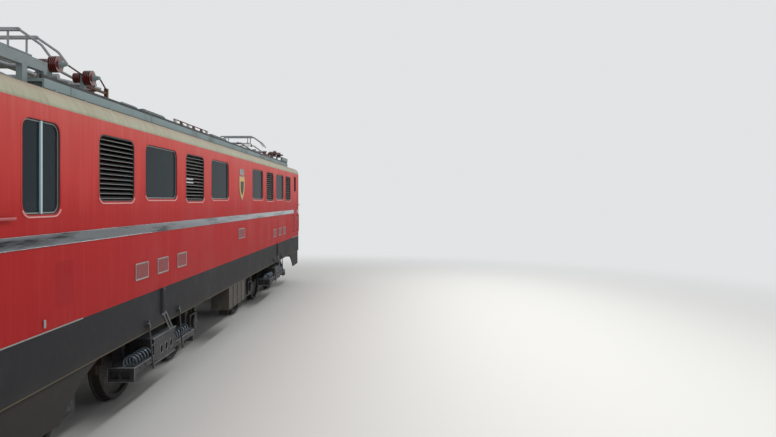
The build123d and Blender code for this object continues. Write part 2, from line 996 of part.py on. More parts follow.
def gear_side():
    """One side's spring gear about the bogie's middle, on the +Y side."""
    outer = (gear_out_y - gear_thick, gear_out_y)
    with BuildPart() as gear:
        block((-plate_half, plate_half), outer, (gear_low_z, shelf_z))
        with BuildSketch(Plane.XZ.offset(-gear_out_y)) as ovals:
            with Locations([(oval_shift + count * oval_pitch, oval_z) for count in (-1, 0, 1)]):
                SlotOverall(oval_height, oval_width, rotation=90)
        extrude(ovals.sketch, amount=gear_thick, mode=Mode.SUBTRACT)
        block(
            (-plate_half - gear_thick, plate_half + gear_thick),
            (frame_out_y, gear_out_y),
            (shelf_z, shelf_z + shelf_thick),
        )
        for way, reach in ((-1, gear_far), (1, gear_near)):
            rib_count = int((reach - end_box_length - rib_first) / rib_pitch)
            block(
                (way * (plate_half - gear_thick), way * plate_half),
                (frame_out_y, gear_out_y - gear_thick + 1),
                (gear_low_z, shelf_z + 1),
            )
            along = (way * (plate_half - 1), way * reach)
            block(along, outer, (arm_low_z, arm_high_z))
            block(along, (arm_in_y, gear_out_y - 1), (arm_low_z, arm_low_z + gear_thick))
            with Locations(
                [
                    Location(
                        (
                            way * (rib_first + count * rib_pitch),
                            (arm_in_y + gear_out_y - gear_thick) / 2,
                            arm_low_z + 50,
                        ),
                        (0, way * rib_tilt_deg, 0),
                    )
                    for count in range(rib_count)
                ]
            ):
                Box(8, gear_out_y - gear_thick - arm_in_y + 2, 70)
            block(
                (way * (reach - end_box_length), way * reach),
                (end_box_in_y, gear_out_y),
                (end_box_low_z, arm_high_z),
            )
            for low_y in (end_box_in_y + 30, end_box_in_y + 165):
                block(
                    (way * (reach - end_box_length + 20), way * (reach + 1)),
                    (low_y, low_y + 105),
                    (end_box_low_z + 35, arm_high_z - 45),
                    Mode.SUBTRACT,
                )
            block(
                (way * 600, way * 660),
                (hanger_in_y, arm_in_y + 10),
                (arm_low_z, frame_low_z),
            )
    return gear.part


one_gear_side = gear_side()


def spring_gear(middle):
    """Both sides' spring gear of one bogie."""
    with BuildPart() as gear:
        for turn in (0, 180):
            add(one_gear_side.moved(Location((middle, 0, 0), (0, 0, turn))), clean=False)
    return gear


journal_in_y = 1000
journal_out_y = 1170
journal_cover_y = 1205
journal_cover_radius = 112
coil_y = 1055
coil_spread = 95
coil_radius = 50
coil_wire = 12
coil_count = 3


def axle_box():
    """An axle box about its wheel's middle on the +Y side, with its bore and two coil springs."""
    with BuildPart() as box:
        block((-pedestal_in, pedestal_in), (journal_in_y, journal_out_y), (axle_z - 150, axle_z + 140))
        rod((0, journal_out_y - 5, axle_z), (0, journal_cover_y, axle_z), journal_cover_radius)
        rod(
            (0, journal_in_y - 10, axle_z),
            (0, journal_out_y - 20, axle_z),
            journal_radius + pin_play,
            Mode.SUBTRACT,
        )
        for way in (-1, 1):
            x = way * coil_spread
            low = axle_z + 135
            rod((x, coil_y, low), (x, coil_y, frame_low_z), coil_radius - coil_wire / 2)
            for count in range(coil_count):
                with Locations((x, coil_y, low + (frame_low_z - low) * (count + 0.5) / coil_count)):
                    Torus(coil_radius, coil_wire)
    return box.part


one_axle_box = axle_box()


def suspension(middle):
    """Six axle boxes with their bearings' bores and the coil springs over them."""
    with BuildPart() as gear:
        for turn in (0, 180):
            for axle in wheel_at:
                add(one_axle_box.moved(Location((middle + axle, 0, 0), (0, 0, turn))), clean=False)
    return gear


motor_gap = 160
motor_half = 560
motor_low_z = 430
motor_high_z = 1090


def motors(middle):
    """Three traction motors, each beside its axle and hung from a transom."""
    near = transom_at - transom_width / 2
    far = transom_at + transom_width / 2
    rows = ((motor_gap - axle_pitch, -far), (motor_gap, near), (far, axle_pitch - motor_gap))
    with BuildPart() as motor:
        for low, high in rows:
            block(
                (middle + low, middle + high), (-motor_half, motor_half), (motor_low_z, motor_high_z)
            )
    return motor


shoe_gap = 6
shoe_thick = 55
shoe_half = 45
shoe_y = 765
hanger_z = 1000


def brake_shoe(flank):
    """A block at the +X side of a wheel at the origin, with its hanger and pin to the frame."""
    back_radius = tread_radius + shoe_gap + shoe_thick
    x = back_radius - shoe_thick / 2
    with BuildPart() as shoe:
        with BuildSketch(Plane.XZ) as arc:
            with Locations((0, axle_z)):
                Circle(back_radius)
                Circle(tread_radius + shoe_gap, mode=Mode.SUBTRACT)
                with Locations((tread_radius - 30, 0)):
                    Rectangle(400, 300, mode=Mode.INTERSECT)
        extrude(arc.sketch, amount=shoe_half, both=True)
        block((x - 22, x + 22), (flank * 30, flank * 125), (axle_z - 25, axle_z + 25))
        block((x - 22, x + 22), (flank * 90, flank * 125), (axle_z - 25, hanger_z + 30))
        rod((x, flank * 100, hanger_z), (x, flank * (frame_in_y - shoe_y), hanger_z), 20)
    return shoe.part.moved(Location((0, flank * shoe_y, 0)))


shoes = {flank: brake_shoe(flank) for flank in sides}


def brake_gear(middle):
    """Blocks on both sides of every wheel that faces a transom, on hangers from the frame."""
    with BuildPart() as gear:
        for flank in sides:
            for axle in (-axle_pitch, 0):
                add(shoes[flank].moved(Location((middle + axle, 0, 0))), clean=False)
            for axle in (0, axle_pitch):
                add(shoes[flank].moved(Location((middle + axle, 0, 0), (0, 0, 180))), clean=False)
    return gear


def wheelset(place):
    """An axle with its two wheels: hub, web, rim and flange turned as one."""
    back = flange_back_y
    front = flange_back_y + tyre_width
    with BuildPart() as pair:
        with BuildSketch(Plane.YZ.offset(place)) as half:
            with BuildLine():
                Polyline(
                    (0, axle_z), (0, axle_z + axle_radius), (back - 40, axle_z + axle_radius),
                    (back - 20, axle_z + 160), (back + 40, axle_z + 160), (back + 50, axle_z + 540),
                    (back, axle_z + 560), (back, axle_z + flange_radius - 12),
                    (back + 10, axle_z + flange_radius), (back + 20, axle_z + flange_radius),
                    (back + 36, axle_z + tread_radius + 2), (front - 8, axle_z + tread_radius - 3),
                    (front, axle_z + tread_radius - 12), (front, axle_z + 560),
                    (back + 90, axle_z + 540), (back + 90, axle_z + 160), (front + 20, axle_z + 150),
                    (front + 20, axle_z + axle_radius), (frame_in_y - 5, axle_z + axle_radius),
                    (frame_in_y - 5, axle_z + journal_radius), (journal_out_y - 25, axle_z + journal_radius),
                    (journal_out_y - 25, axle_z), (0, axle_z),
                )
            make_face()
            mirror(about=Plane.YZ)
        revolve(half.sketch, axis=Axis((place, 0, axle_z), (0, 1, 0)))
    return pair


number = 0
for end, place in ((-1, "front"), (1, "rear")):
    middle = end * bogie_centres / 2
    save(bogie_frame(middle), "bogie_frame_" + place)
    save(spring_gear(middle), "spring_gear_" + place)
    save(suspension(middle), "suspension_" + place)
    save(motors(middle), "traction_motors_" + place)
    save(brake_gear(middle), "brake_gear_" + place)
    for axle in wheel_at:
        number = number + 1
        save(wheelset(middle + axle), "wheelset_" + str(number))

# Roof walkways: a board with a turned-down edge on feet, along each side
board_half = 7100
board_in_y = 1010
board_out_y = 1285
board_low_z = rail + 3760
board_high_z = rail + 3850
board_edge = 20
board_thick = 30
foot_pitch = 1000
foot_half = 25
foot_count = 15
roof_form = extrude(cross_section(0), amount=straight_side, both=True)

with BuildPart() as roof_boards:
    for side in sides:
        block(
            (-board_half, board_half),
            (side * board_in_y, side * board_out_y),
            (board_high_z - board_thick, board_high_z),
        )
        block(
            (-board_half, board_half),
            (side * (board_out_y - board_edge), side * board_out_y),
            (board_low_z, board_high_z),
        )
        with Locations(
            [
                ((count - foot_count // 2) * foot_pitch, side * (board_in_y + board_out_y) / 2, board_low_z)
                for count in range(foot_count)
            ]
        ):
            Box(2 * foot_half, board_out_y - board_in_y - 50, 2 * (board_high_z - board_low_z) - 40)
    add(roof_form, mode=Mode.SUBTRACT)
save(roof_boards, "roof_boards")

# Pantographs: driving sizes
panto_at = 5900
arm = 1350
shaft_half = 350
fold_deg = 4
base_z = rail + 4160
shaft_radius = 16
eye_radius = 32
lower_y = 480
upper_y = 400
head_y = 330
knee_out = shaft_half + arm * cos(radians(fold_deg))
knee_z = base_z + arm * sin(radians(fold_deg))
head_z = base_z + 2 * arm * sin(radians(fold_deg))
pan_z = rail + 4600
frame_y = 560
frame_tube = 30
cross_tube = 28
frame_z = base_z - 60
frame_reach = 900
bearing_radius = 38
insulator_at = 550
insulator_y = 900

# Roof insulators: ribbed porcelain posts, bells and pairs laid across
insulator_radius = 42
shed_radius = 68
shed_count = 5
cap_height = 34
pair_at = (6570, 5840)
pair_z = rail + 4090
# Bodies of one pair over the end of a board: inner end, outer end, radius
pair_bodies = (
    (940, 1022, 58),
    (1062, 1158, 84),
)
# Bells and white posts along the middle of each side, from the cab end: place, kind
bell_row = (
    (2200, "white"),
    (1880, "brown"),
    (1500, "white"),
    (1180, "brown"),
    (700, "brown"),
    (330, "white"),
)
bell_y = 860
bell_top_z = rail + 4080
bell_low_z = rail + 3770


def post(low_z, high_z, core, shed, count):
    """A ribbed insulator standing up from low to high."""
    rise = (high_z - low_z - 2 * cap_height) / count
    with BuildPart() as body:
        rod((0, 0, low_z), (0, 0, high_z), core)
        with Locations([(0, 0, low_z + cap_height + (row + 0.5) * rise) for row in range(count)]):
            Cone(shed, core, rise * 0.55)
    return body.part


def bell(high_z):
    """A squat bell insulator: three skirts that narrow upwards."""
    with BuildPart() as body:
        rod((0, 0, bell_low_z), (0, 0, high_z), 26)
        for row, (low_radius, high_radius) in enumerate(((88, 52), (74, 44), (58, 30))):
            with Locations((0, 0, bell_low_z + 110 + row * 68)):
                Cone(low_radius, high_radius, 62)
    return body.part


def lying_body(inner, outer, radius):
    """A ribbed insulator along Y on its own middle line."""
    ribs = 5
    pitch = (outer - inner) / ribs
    with BuildPart() as body:
        rod((0, inner, 0), (0, outer, 0), radius * 0.62)
        with Locations([Location((0, inner + pitch * (row + 0.5), 0), (90, 0, 0)) for row in range(ribs)]):
            Cylinder(radius, pitch * 0.45)
    return body.part


panto_post = post(rail + 3780, frame_z, insulator_radius, shed_radius, shed_count)
brown_bell = bell(bell_top_z)
white_post = post(bell_low_z, bell_top_z, 30, 56, 4)
lying = [lying_body(inner, outer, radius) for inner, outer, radius in pair_bodies]
halves = (0, 180)

with BuildPart() as roof_insulators:
    for end in ends:
        for way in (-1, 1):
            for flank in sides:
                x = end * panto_at + way * insulator_at
                add(panto_post.moved(Location((x, flank * insulator_y, 0))), clean=False)
    for end in ends:
        for way in (-1, 1):
            x = end * panto_at + way * insulator_at
            rod((x, -past_y, frame_z), (x, past_y, frame_z), cross_tube + fit, Mode.SUBTRACT)
    for flank in sides:
        for x, kind in bell_row:
            if kind == "brown":
                add(brown_bell.moved(Location((flank * x, flank * bell_y, 0))), clean=False)
    add(roof_form, mode=Mode.SUBTRACT)
    for end in ends:
        for x in pair_at:
            for turn in halves:
                for body in lying:
                    add(body.moved(Location((end * x, 0, pair_z), (0, 0, turn))), clean=False)
save(roof_insulators, "roof_insulators")

with BuildPart() as white_insulators:
    for flank in sides:
        for x, kind in bell_row:
            if kind == "white":
                add(white_post.moved(Location((flank * x, flank * bell_y, 0))), clean=False)
    add(roof_form, mode=Mode.SUBTRACT)
save(white_insulators, "white_insulators")

# Roof equipment: beams behind the cabs, brackets and end caps of the insulators laid across, a
# pipe elbow and two ribbed covers on each side
beam_back = 7820
beam_front = 6830
beam_y = 1140
beam_half_thick = 30
beam_low_z = rail + 3950
beam_top_z = rail + 4050
beam_foot_z = rail + 3700
bracket_half = 30
bracket_rise = 44
cap_end = 1235
cap_root = 36
cap_tip = 16
hood_y = 850
hood_radius = 130
hood_axis_z = rail + 3930
hood_foot_z = rail + 3740
hood_rib = 12
# Ribbed hoods along one side: start, end
hoods = ((-3700, -2870), (-130, 1000))
pipe_radius = 62
pipe_bend = 115
pipe_back = -4450
pipe_front = -3840


def ribbed_hood(start, stop):
    """A barrel-topped hood along X with raised ribs."""
    ribs = 5
    narrow = hood_radius - hood_rib
    with BuildPart() as hood:
        rod((start, 0, hood_axis_z), (stop, 0, hood_axis_z), narrow)
        block((start, stop), (-narrow, narrow), (hood_foot_z, hood_axis_z))
        for row in range(ribs):
            x = start + (stop - start) * (row + 0.5) / ribs
            rod((x - 18, 0, hood_axis_z), (x + 18, 0, hood_axis_z), hood_radius)
            block((x - 18, x + 18), (-hood_radius, hood_radius), (hood_foot_z, hood_axis_z))
    return hood.part


def arched_pipe():
    """A pipe that rises from the roof, runs along and goes down again."""
    with BuildPart() as pipe:
        with BuildLine():
            FilletPolyline(
                (pipe_back, -hood_y, hood_foot_z),
                (pipe_back, -hood_y, hood_axis_z + 60),
                (pipe_front, -hood_y, hood_axis_z + 60),
                (pipe_front, -hood_y, hood_foot_z),
                radius=pipe_bend,
            )
        with BuildSketch(Plane.XY.offset(hood_foot_z)):
            with Locations((pipe_back, -hood_y)):
                Circle(pipe_radius)
        sweep()
    return pipe.part


def side_equipment():
    """What stands along the -Y side of the roof; a half turn makes the other side's."""
    across = (-beam_y - beam_half_thick, -beam_y + beam_half_thick)
    with BuildPart() as gear:
        for end in ends:
            block((end * beam_front, end * beam_back), across, (beam_low_z, beam_top_z))
            for x in (beam_back - 120, board_half + 120):
                block((end * x - 40, end * x + 40), across, (beam_foot_z, beam_low_z + 1))
            block(
                (end * (beam_front + 10), end * (beam_front + 70)), across, (board_high_z, beam_low_z + 1)
            )
            for x in pair_at:
                block(
                    (end * x - bracket_half, end * x + bracket_half),
                    (-pair_bodies[1][0], -pair_bodies[0][1]),
                    (board_high_z, pair_z + bracket_rise),
                )
                middle = (pair_bodies[1][1] + cap_end) / 2
                with Locations(Location((end * x, -middle, pair_z), (90, 0, 0))):
                    Cone(cap_root, cap_tip, cap_end - pair_bodies[1][1])
        for start, stop in hoods:
            add(ribbed_hood(start, stop).moved(Location((0, -hood_y, 0))), clean=False)
        add(arched_pipe())
    return gear.part


one_side_equipment = side_equipment()
with BuildPart() as roof_equipment:
    for turn in halves:
        add(one_side_equipment.moved(Location((0, 0, 0), (0, 0, turn))), clean=False)
    add(roof_form, mode=Mode.SUBTRACT)
save(roof_equipment, "roof_equipment")

# Busbars: flat bars on the bells, round rods from the end caps, and the ties behind them
bar_half = 15
bar_thick = 8
rod_radius = 9
tie_end = 5250
tie_y = 1042
tie_low_z = rail + 4000
tie_high_z = rail + 4058


def side_bars():
    """The bars and rods along the -Y side of the roof."""
    with BuildPart() as bars:
        block(
            (-bell_row[0][0] - 60, -bell_row[-1][0] + 60),
            (-bell_y - bar_half, -bell_y + bar_half),
            (bell_top_z, bell_top_z + bar_thick),
        )
        for end in ends:
            near, far = pair_at
            rod(
                (end * (near - cap_tip + 2), -cap_end + 12, pair_z),
                (end * (far + bracket_half), -tie_y, pair_z + bracket_rise - 10),
                rod_radius,
            )
            rod(
                (end * (far - cap_tip + 2), -cap_end + 12, pair_z),
                (end * tie_end, -tie_y, tie_high_z),
                rod_radius,
            )
            block(
                (end * (far - bracket_half), end * tie_end),
                (-tie_y - bar_half, -tie_y + bar_half),
                (tie_low_z, tie_low_z + 24),
            )
            block(
                (end * (tie_end - 20), end * (tie_end + 20)),
                (-tie_y - bar_half - 5, -tie_y + bar_half + 5),
                (board_high_z, tie_high_z + 14),
            )
        add(one_side_equipment, mode=Mode.SUBTRACT)
    return bars.part


one_side_bars = side_bars()
with BuildPart() as busbars:
    for turn in halves:
        add(one_side_bars.moved(Location((0, 0, 0), (0, 0, turn))), clean=False)
save(busbars, "busbars")

# Pantograph bases: two long tubes, cross tubes to the insulators and the bearings of both shafts
with BuildPart() as pantograph_bases:
    for end in ends:
        xc = end * panto_at
        for flank in sides:
            y = flank * frame_y
            rod((xc - frame_reach, y, frame_z), (xc + frame_reach, y, frame_z), frame_tube)
        for way in (-1, 1):
            x = xc + way * frame_reach
            rod((x, -frame_y, frame_z), (x, frame_y, frame_z), cross_tube)
            x = xc + way * insulator_at
            rod((x, -insulator_y - 60, frame_z), (x, insulator_y + 60, frame_z), cross_tube)
            x = xc + way * shaft_half
            for flank in sides:
                rod(
                    (x, flank * (frame_y - 50), base_z), (x, flank * (frame_y + 50), base_z), bearing_radius
                )
                rod(
                    (x, flank * (frame_y - 60), base_z),
                    (x, flank * (frame_y + 16), base_z),
                    shaft_radius + pin_play,
                    Mode.SUBTRACT,
                )
save(pantograph_bases, "pantograph_bases")

# Arms and heads of the pantographs
lower_tube = 20
upper_tube = 18
head_shaft = shaft_radius - 4
strip_spread = 180
strip_half = 25
strip_thick = 35
strip_reach = 457
horn_radius = 14
horn_bend = 160
horn_knee = (700, -190)
horn_tip = (795, -320)
rail_lift = 45


def lower_arm(xc, way):
    """A pair of tubes from the base shaft out to the knee, with both cross shafts."""
    base_x = xc + way * shaft_half
    knee_x = xc + way * knee_out
    with BuildPart() as frame:
        rod((base_x, -frame_y - 15, base_z), (base_x, frame_y + 15, base_z), shaft_radius)
        rod((base_x, -lower_y - 20, base_z), (base_x, lower_y + 20, base_z), eye_radius - 4)
        rod((knee_x, -lower_y - 20, knee_z), (knee_x, lower_y + 20, knee_z), shaft_radius)
        for flank in sides:
            rod((base_x, flank * lower_y, base_z), (knee_x, flank * lower_y, knee_z), lower_tube)
    return frame


def upper_arm(xc, way):
    """A pair of tubes from the knee back over the middle, with the shaft that carries the head."""
    knee_x = xc + way * knee_out
    head_x = xc + way * shaft_half
    with BuildPart() as frame:
        for flank in sides:
            rod((knee_x, flank * upper_y, knee_z), (head_x, flank * upper_y, head_z), upper_tube)
            rod(
                (knee_x, flank * (upper_y - 20), knee_z),
                (knee_x, flank * (upper_y + 20), knee_z),
                eye_radius,
            )
        rod((knee_x, -lower_y, knee_z), (knee_x, lower_y, knee_z), shaft_radius + pin_play, Mode.SUBTRACT)
        rod((head_x, -upper_y - 16, head_z), (head_x, upper_y + 16, head_z), head_shaft)
    return frame


def head_ring(x, y):
    """A ring on the head's shaft with a stub up to the carriage rail."""
    with BuildPart() as ring:
        rod((x, y - 20, head_z), (x, y + 20, head_z), eye_radius)
        block((x - 14, x + 14), (y - 14, y + 14), (head_z, head_z + rail_lift + 5))
        rod((x, y - 30, head_z), (x, y + 30, head_z), head_shaft + pin_play, Mode.SUBTRACT)
    return ring.part


def horn(x, flank):
    """The down-turned end of one contact strip: a tube along a bent line."""
    with BuildPart() as tube:
        with BuildLine():
            FilletPolyline(
                (x, flank * (strip_reach - 8), pan_z - 17),
                (x, flank * horn_knee[0], pan_z + horn_knee[1]),
                (x, flank * horn_tip[0], pan_z + horn_tip[1]),
                radius=horn_bend,
            )
        run = Vector(0, flank * (horn_knee[0] - strip_reach + 8), horn_knee[1] + 17)
        with BuildSketch(Plane(origin=(x, flank * (strip_reach - 8), pan_z - 17), z_dir=run)):
            Circle(horn_radius)
        sweep()
    return tube.part


def pan_head(xc, way):
    """The carriage on the upper shaft with two contact strips and their down-turned horns."""
    rail_z = head_z + rail_lift
    with BuildPart() as head:
        for flank in sides:
            y = flank * head_y
            rod(
                (xc - way * (shaft_half - 80), y, rail_z),
                (xc + way * (shaft_half + 40), y, rail_z),
                horn_radius,
            )
            add(head_ring(xc + way * shaft_half, y))
            for way_x in (-1, 1):
                x = xc + way_x * strip_spread
                rod((x, y, rail_z), (x, y, pan_z - 20), horn_radius - 2)
        for way_x in (-1, 1):
            x = xc + way_x * strip_spread
            block(
                (x - strip_half, x + strip_half), (-strip_reach, strip_reach), (pan_z - strip_thick, pan_z)
            )
            for flank in sides:
                add(horn(x, flank))
    return head


for end, place in ((-1, "front"), (1, "rear")):
    xc = end * panto_at
    save(lower_arm(xc, end), "lower_arm_outer_" + place)
    save(lower_arm(xc, -end), "lower_arm_inner_" + place)
    save(upper_arm(xc, end), "upper_arm_outer_" + place)
    save(upper_arm(xc, -end), "upper_arm_inner_" + place)
    save(pan_head(xc, end), "pan_head_" + place)
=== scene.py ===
# %% [markdown]
# An electric locomotive with two cabs stands on a pale floor. The solids that carry it come as a
# fixed frame. This lesson gives them their paint, glass and steel, and adds what is too fine for
# solids: seals, rivets, springs, pipes, lamps and dirt. Lengths are in metres.

# %% Load the frame
import json
import math
import bpy
import bmesh
import numpy as np
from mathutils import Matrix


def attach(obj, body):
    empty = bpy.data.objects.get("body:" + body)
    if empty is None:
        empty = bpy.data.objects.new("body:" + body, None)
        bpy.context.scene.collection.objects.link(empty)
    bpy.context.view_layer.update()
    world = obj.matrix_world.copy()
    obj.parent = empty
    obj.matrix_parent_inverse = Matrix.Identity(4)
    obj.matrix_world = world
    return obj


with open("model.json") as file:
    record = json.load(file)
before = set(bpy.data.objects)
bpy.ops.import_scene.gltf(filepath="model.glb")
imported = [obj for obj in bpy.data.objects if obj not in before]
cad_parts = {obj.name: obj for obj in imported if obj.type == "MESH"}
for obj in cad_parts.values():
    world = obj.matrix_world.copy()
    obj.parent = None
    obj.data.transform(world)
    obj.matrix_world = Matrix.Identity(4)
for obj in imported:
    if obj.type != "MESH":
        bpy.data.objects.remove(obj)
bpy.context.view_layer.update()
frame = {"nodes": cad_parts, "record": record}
print("nodes in the frame:", len(frame["nodes"]))

# %% [markdown]
# The photograph was taken from beside the locomotive's leading corner, looking straight along its
# flank, so the camera looks along +X. The point where the flank's long lines meet gave the shift.

# %% Camera
eye = (-13.08, -4.535, 2.73)
lens_mm = 29.5
camera = bpy.data.objects.new("camera", bpy.data.cameras.new("camera"))
camera.data.lens = lens_mm
camera.data.sensor_width = 36.0
camera.data.shift_x = -0.00245
camera.data.shift_y = -0.0236
camera.data.clip_end = 200.0
camera.location = eye
camera.rotation_euler = (math.pi / 2, 0.0, -math.pi / 2)
bpy.context.scene.collection.objects.link(camera)
bpy.context.scene.camera = camera
bpy.context.scene.view_settings.view_transform = "Standard"
print("camera", eye, "lens", lens_mm)

# %% [markdown]
# A few helpers serve every finish. Colours are written as a painter's hex codes and turned to the
# linear numbers that the renderer adds up. One function adds a node with its settings and links,
# and short ones over it add the four kinds that come up again and again.


# %% Colour and node helpers
def paint(code):
    """A hex colour in linear numbers: a channel is divided by 12.92 near black, and elsewhere
    raised to the power 2.4 after its offset."""
    channels = np.array([int(code[i:i + 2], 16) for i in (1, 3, 5)]) / 255.0
    linear = np.where(channels <= 0.04045, channels / 12.92, ((channels + 0.055) / 1.055) ** 2.4)
    return (*linear.tolist(), 1.0)


def node(tree, kind, sockets=(), **settings):
    """Adds a node. Settings are its own properties. Each socket takes a value or another output."""
    made = tree.nodes.new("ShaderNode" + kind)
    for name, value in settings.items():
        setattr(made, name, value)
    for name, value in dict(sockets).items():
        if isinstance(value, bpy.types.NodeSocket):
            tree.links.new(value, made.inputs[name])
        else:
            made.inputs[name].default_value = value
    return made


def reckon(tree, operation, *values):
    """The operation done on numbers or outputs."""
    return node(tree, "Math", dict(enumerate(values)), operation=operation).outputs[0]


def mix(tree, share, under, over):
    """One colour with a share of another over it."""
    return node(tree, "Mix", {0: share, 6: under, 7: over}, data_type="RGBA").outputs[2]


def spread(tree, value, low, high, start=0.0, end=1.0, **settings):
    """The value's way from low to high, drawn out from start to end and held there."""
    return node(tree, "MapRange", {"Value": value, "From Min": low, "From Max": high,
                                   "To Min": start, "To Max": end}, **settings).outputs["Result"]


def noise(tree, place, scale, detail, roughness=0.5):
    """Clouds whose size is one over the scale."""
    return node(tree, "TexNoise", {"Vector": place, "Scale": scale, "Detail": detail,
                                   "Roughness": roughness}).outputs["Fac"]


# %% [markdown]
# The floor is a plain pale plane that fades, for the camera alone, into the plain pale sky, so no
# hard horizon cuts the picture. Broad lamps hang over both sides like the strip lights of a
# paint shop, so that the flanks catch long soft reflections.

# %% Floor, world and lamps
floor_half = 60.0
floor_mesh = bpy.data.meshes.new("floor")
floor_mesh.from_pydata([(x * floor_half, y * floor_half, 0.0) for x, y in
                        ((-1, -1), (1, -1), (1, 1), (-1, 1))], [], [(0, 1, 2, 3)])
floor = bpy.data.objects.new("floor", floor_mesh)
bpy.context.scene.collection.objects.link(floor)
floor_finish = bpy.data.materials.new("pale_floor")
floor_finish.use_nodes = True
floor_tree = floor_finish.node_tree
floor_shader = floor_tree.nodes["Principled BSDF"]
floor_shader.inputs["Base Color"].default_value = paint("#CFCECA")
floor_shader.inputs["Roughness"].default_value = 0.8
where = node(floor_tree, "TexCoord").outputs["Object"]
reach = node(floor_tree, "VectorMath", {0: where}, operation="LENGTH").outputs["Value"]
haze_start, haze_end = 10.0, 20.0
far = spread(floor_tree, reach, haze_start, haze_end, interpolation_type="SMOOTHSTEP")
to_eye = node(floor_tree, "LightPath").outputs["Is Camera Ray"]
haze = reckon(floor_tree, "MULTIPLY", far, to_eye)
glow = node(floor_tree, "Emission", {"Color": paint("#E2E4E5")}).outputs[0]
blend = node(floor_tree, "MixShader", {0: haze, 1: floor_shader.outputs[0], 2: glow}).outputs[0]
floor_tree.links.new(blend, floor_tree.nodes["Material Output"].inputs["Surface"])
floor_mesh.materials.append(floor_finish)

world = bpy.data.worlds.new("studio")
world.use_nodes = True
bpy.context.scene.world = world
sky = world.node_tree.nodes["Background"]
sky.inputs["Color"].default_value = paint("#E4E7EA")
sky.inputs["Strength"].default_value = 0.66
air = world.node_tree
bright = node(air, "Background", {"Color": paint("#E2E4E5"), "Strength": 1.0}).outputs[0]
ray = node(air, "LightPath").outputs
seen = reckon(air, "MAXIMUM", ray["Is Camera Ray"], ray["Is Glossy Ray"])
seen = reckon(air, "MAXIMUM", seen, ray["Is Transmission Ray"])
mixed = node(air, "MixShader", {0: seen, 1: sky.outputs[0], 2: bright}).outputs[0]
air.links.new(mixed, air.nodes["World Output"].inputs["Surface"])

# Each lamp: across, height, watts, tilt towards the locomotive in degrees
for lamp_y, lamp_z, watts, tilt in ((-6.5, 8.0, 1500.0, -32.0), (6.5, 8.0, 1000.0, 32.0)):
    lamp = bpy.data.lights.new("strip_lamp", "AREA")
    lamp.shape = "RECTANGLE"
    lamp.size = 26.0
    lamp.size_y = 1.2
    lamp.energy = watts
    hung = bpy.data.objects.new("strip_lamp", lamp)
    hung.location = (0.0, lamp_y, lamp_z)
    hung.rotation_euler = (math.radians(tilt), 0.0, 0.0)
    bpy.context.scene.collection.objects.link(hung)
print("stage ready")

# %% [markdown]
# Nearly every finish here is a coat that time has worn in patches. The same three layers make it:
# a broad noise that lets a second colour through, the same broad noise spread into the gloss, and
# a fine noise as a relief of a fraction of a millimetre. A finish that needs more, such as rain
# streaks or a change of colour with height, adds its own nodes to these.


# %% A worn coat
def worn_coat(name, clean, worn, patch_mm=300.0, share=0.4, gloss=(0.4, 0.6), grain_mm=4.0,
              relief_mm=0.15, stretch=(1.0, 1.0, 1.0), metal=0.0):
    """A coat with worn patches. Share is how much of it has the worn colour. Gives the material,
    its tree, its shader, the Object coordinates and the coat's colour."""
    made = bpy.data.materials.new(name)
    made.use_nodes = True
    tree = made.node_tree
    shader = tree.nodes["Principled BSDF"]
    shader.inputs["Metallic"].default_value = metal
    place = node(tree, "TexCoord").outputs["Object"]
    drawn = node(tree, "Mapping", {"Vector": place, "Scale": stretch}).outputs["Vector"]
    broad = noise(tree, drawn, 1000.0 / patch_mm, 7.0, 0.65)
    patch = spread(tree, broad, 0.72 - 0.4 * share, 0.9 - 0.4 * share)
    colour = mix(tree, patch, paint(clean), paint(worn))
    fine = noise(tree, place, 1000.0 / grain_mm, 3.0)
    rough = spread(tree, broad, 0.3, 0.7, *gloss)
    relief = node(tree, "Bump", {"Height": fine, "Strength": 0.6, "Distance": relief_mm / 1000.0})
    tree.links.new(colour, shader.inputs["Base Color"])
    tree.links.new(rough, shader.inputs["Roughness"])
    tree.links.new(relief.outputs["Normal"], shader.inputs["Normal"])
    return made, tree, shader, place, colour


finishes = {}

# %% [markdown]
# The body is sprayed steel in a red enamel that decades under lamps and sky have chalked in
# patches, with rain streaks and a few darker patches. Its colour is also painted paler and pinker
# towards the eaves, as painted light from above, and deeper by the skirt, as painted shade.
# Height comes from the Object coordinates, so the same coat fits sides, doors and noses. Above
# the eaves line the noses wear the roof's cream.

# %% Red enamel, with cream above the eaves
eaves_z = 3.579
waist_z = 1.558
made, tree, shader, place, chalk = worn_coat("chalked_red_enamel_with_painted_light", "#A61A1D", "#B93634",
                                             patch_mm=900.0, share=0.45, gloss=(0.42, 0.58),
                                             grain_mm=9.0, relief_mm=0.12, stretch=(1.0, 1.0, 0.7))
apart = node(tree, "SeparateXYZ", {0: place}).outputs
rise = spread(tree, apart["Z"], waist_z, eaves_z)
# Painted light and shade: this ramp makes the red paler and pinker towards the eaves, where light
# falls from above, and deeper by the skirt.
tone = node(tree, "ValToRGB", {"Fac": rise})
tone.color_ramp.elements[0].color = paint("#A2181A")
tone.color_ramp.elements[1].color = paint("#E0655F")
for stop, code in ((0.3, "#AE1D1F"), (0.5, "#B42626"), (0.7, "#D0443F"), (0.9, "#DB5650")):
    tone.color_ramp.elements.new(stop).color = paint(code)
chalk_and_painted_light = mix(tree, 0.25, tone.outputs["Color"], chalk)
thin = node(tree, "Mapping", {"Vector": place, "Scale": (9.0, 9.0, 0.5)}).outputs["Vector"]
rain = noise(tree, thin, 1.6, 8.0, 0.7)
streak = spread(tree, rain, 0.5, 0.82, 0.0, 0.35)
under_eaves = spread(tree, rise, 0.45, 1.0, 0.2)
washed = mix(tree, reckon(tree, "MULTIPLY", streak, under_eaves), chalk_and_painted_light, paint("#DC8F88"))
soot = spread(tree, rain, 0.46, 0.25, 0.0, 0.22)
sooty = mix(tree, soot, washed, paint("#7E1D20"))
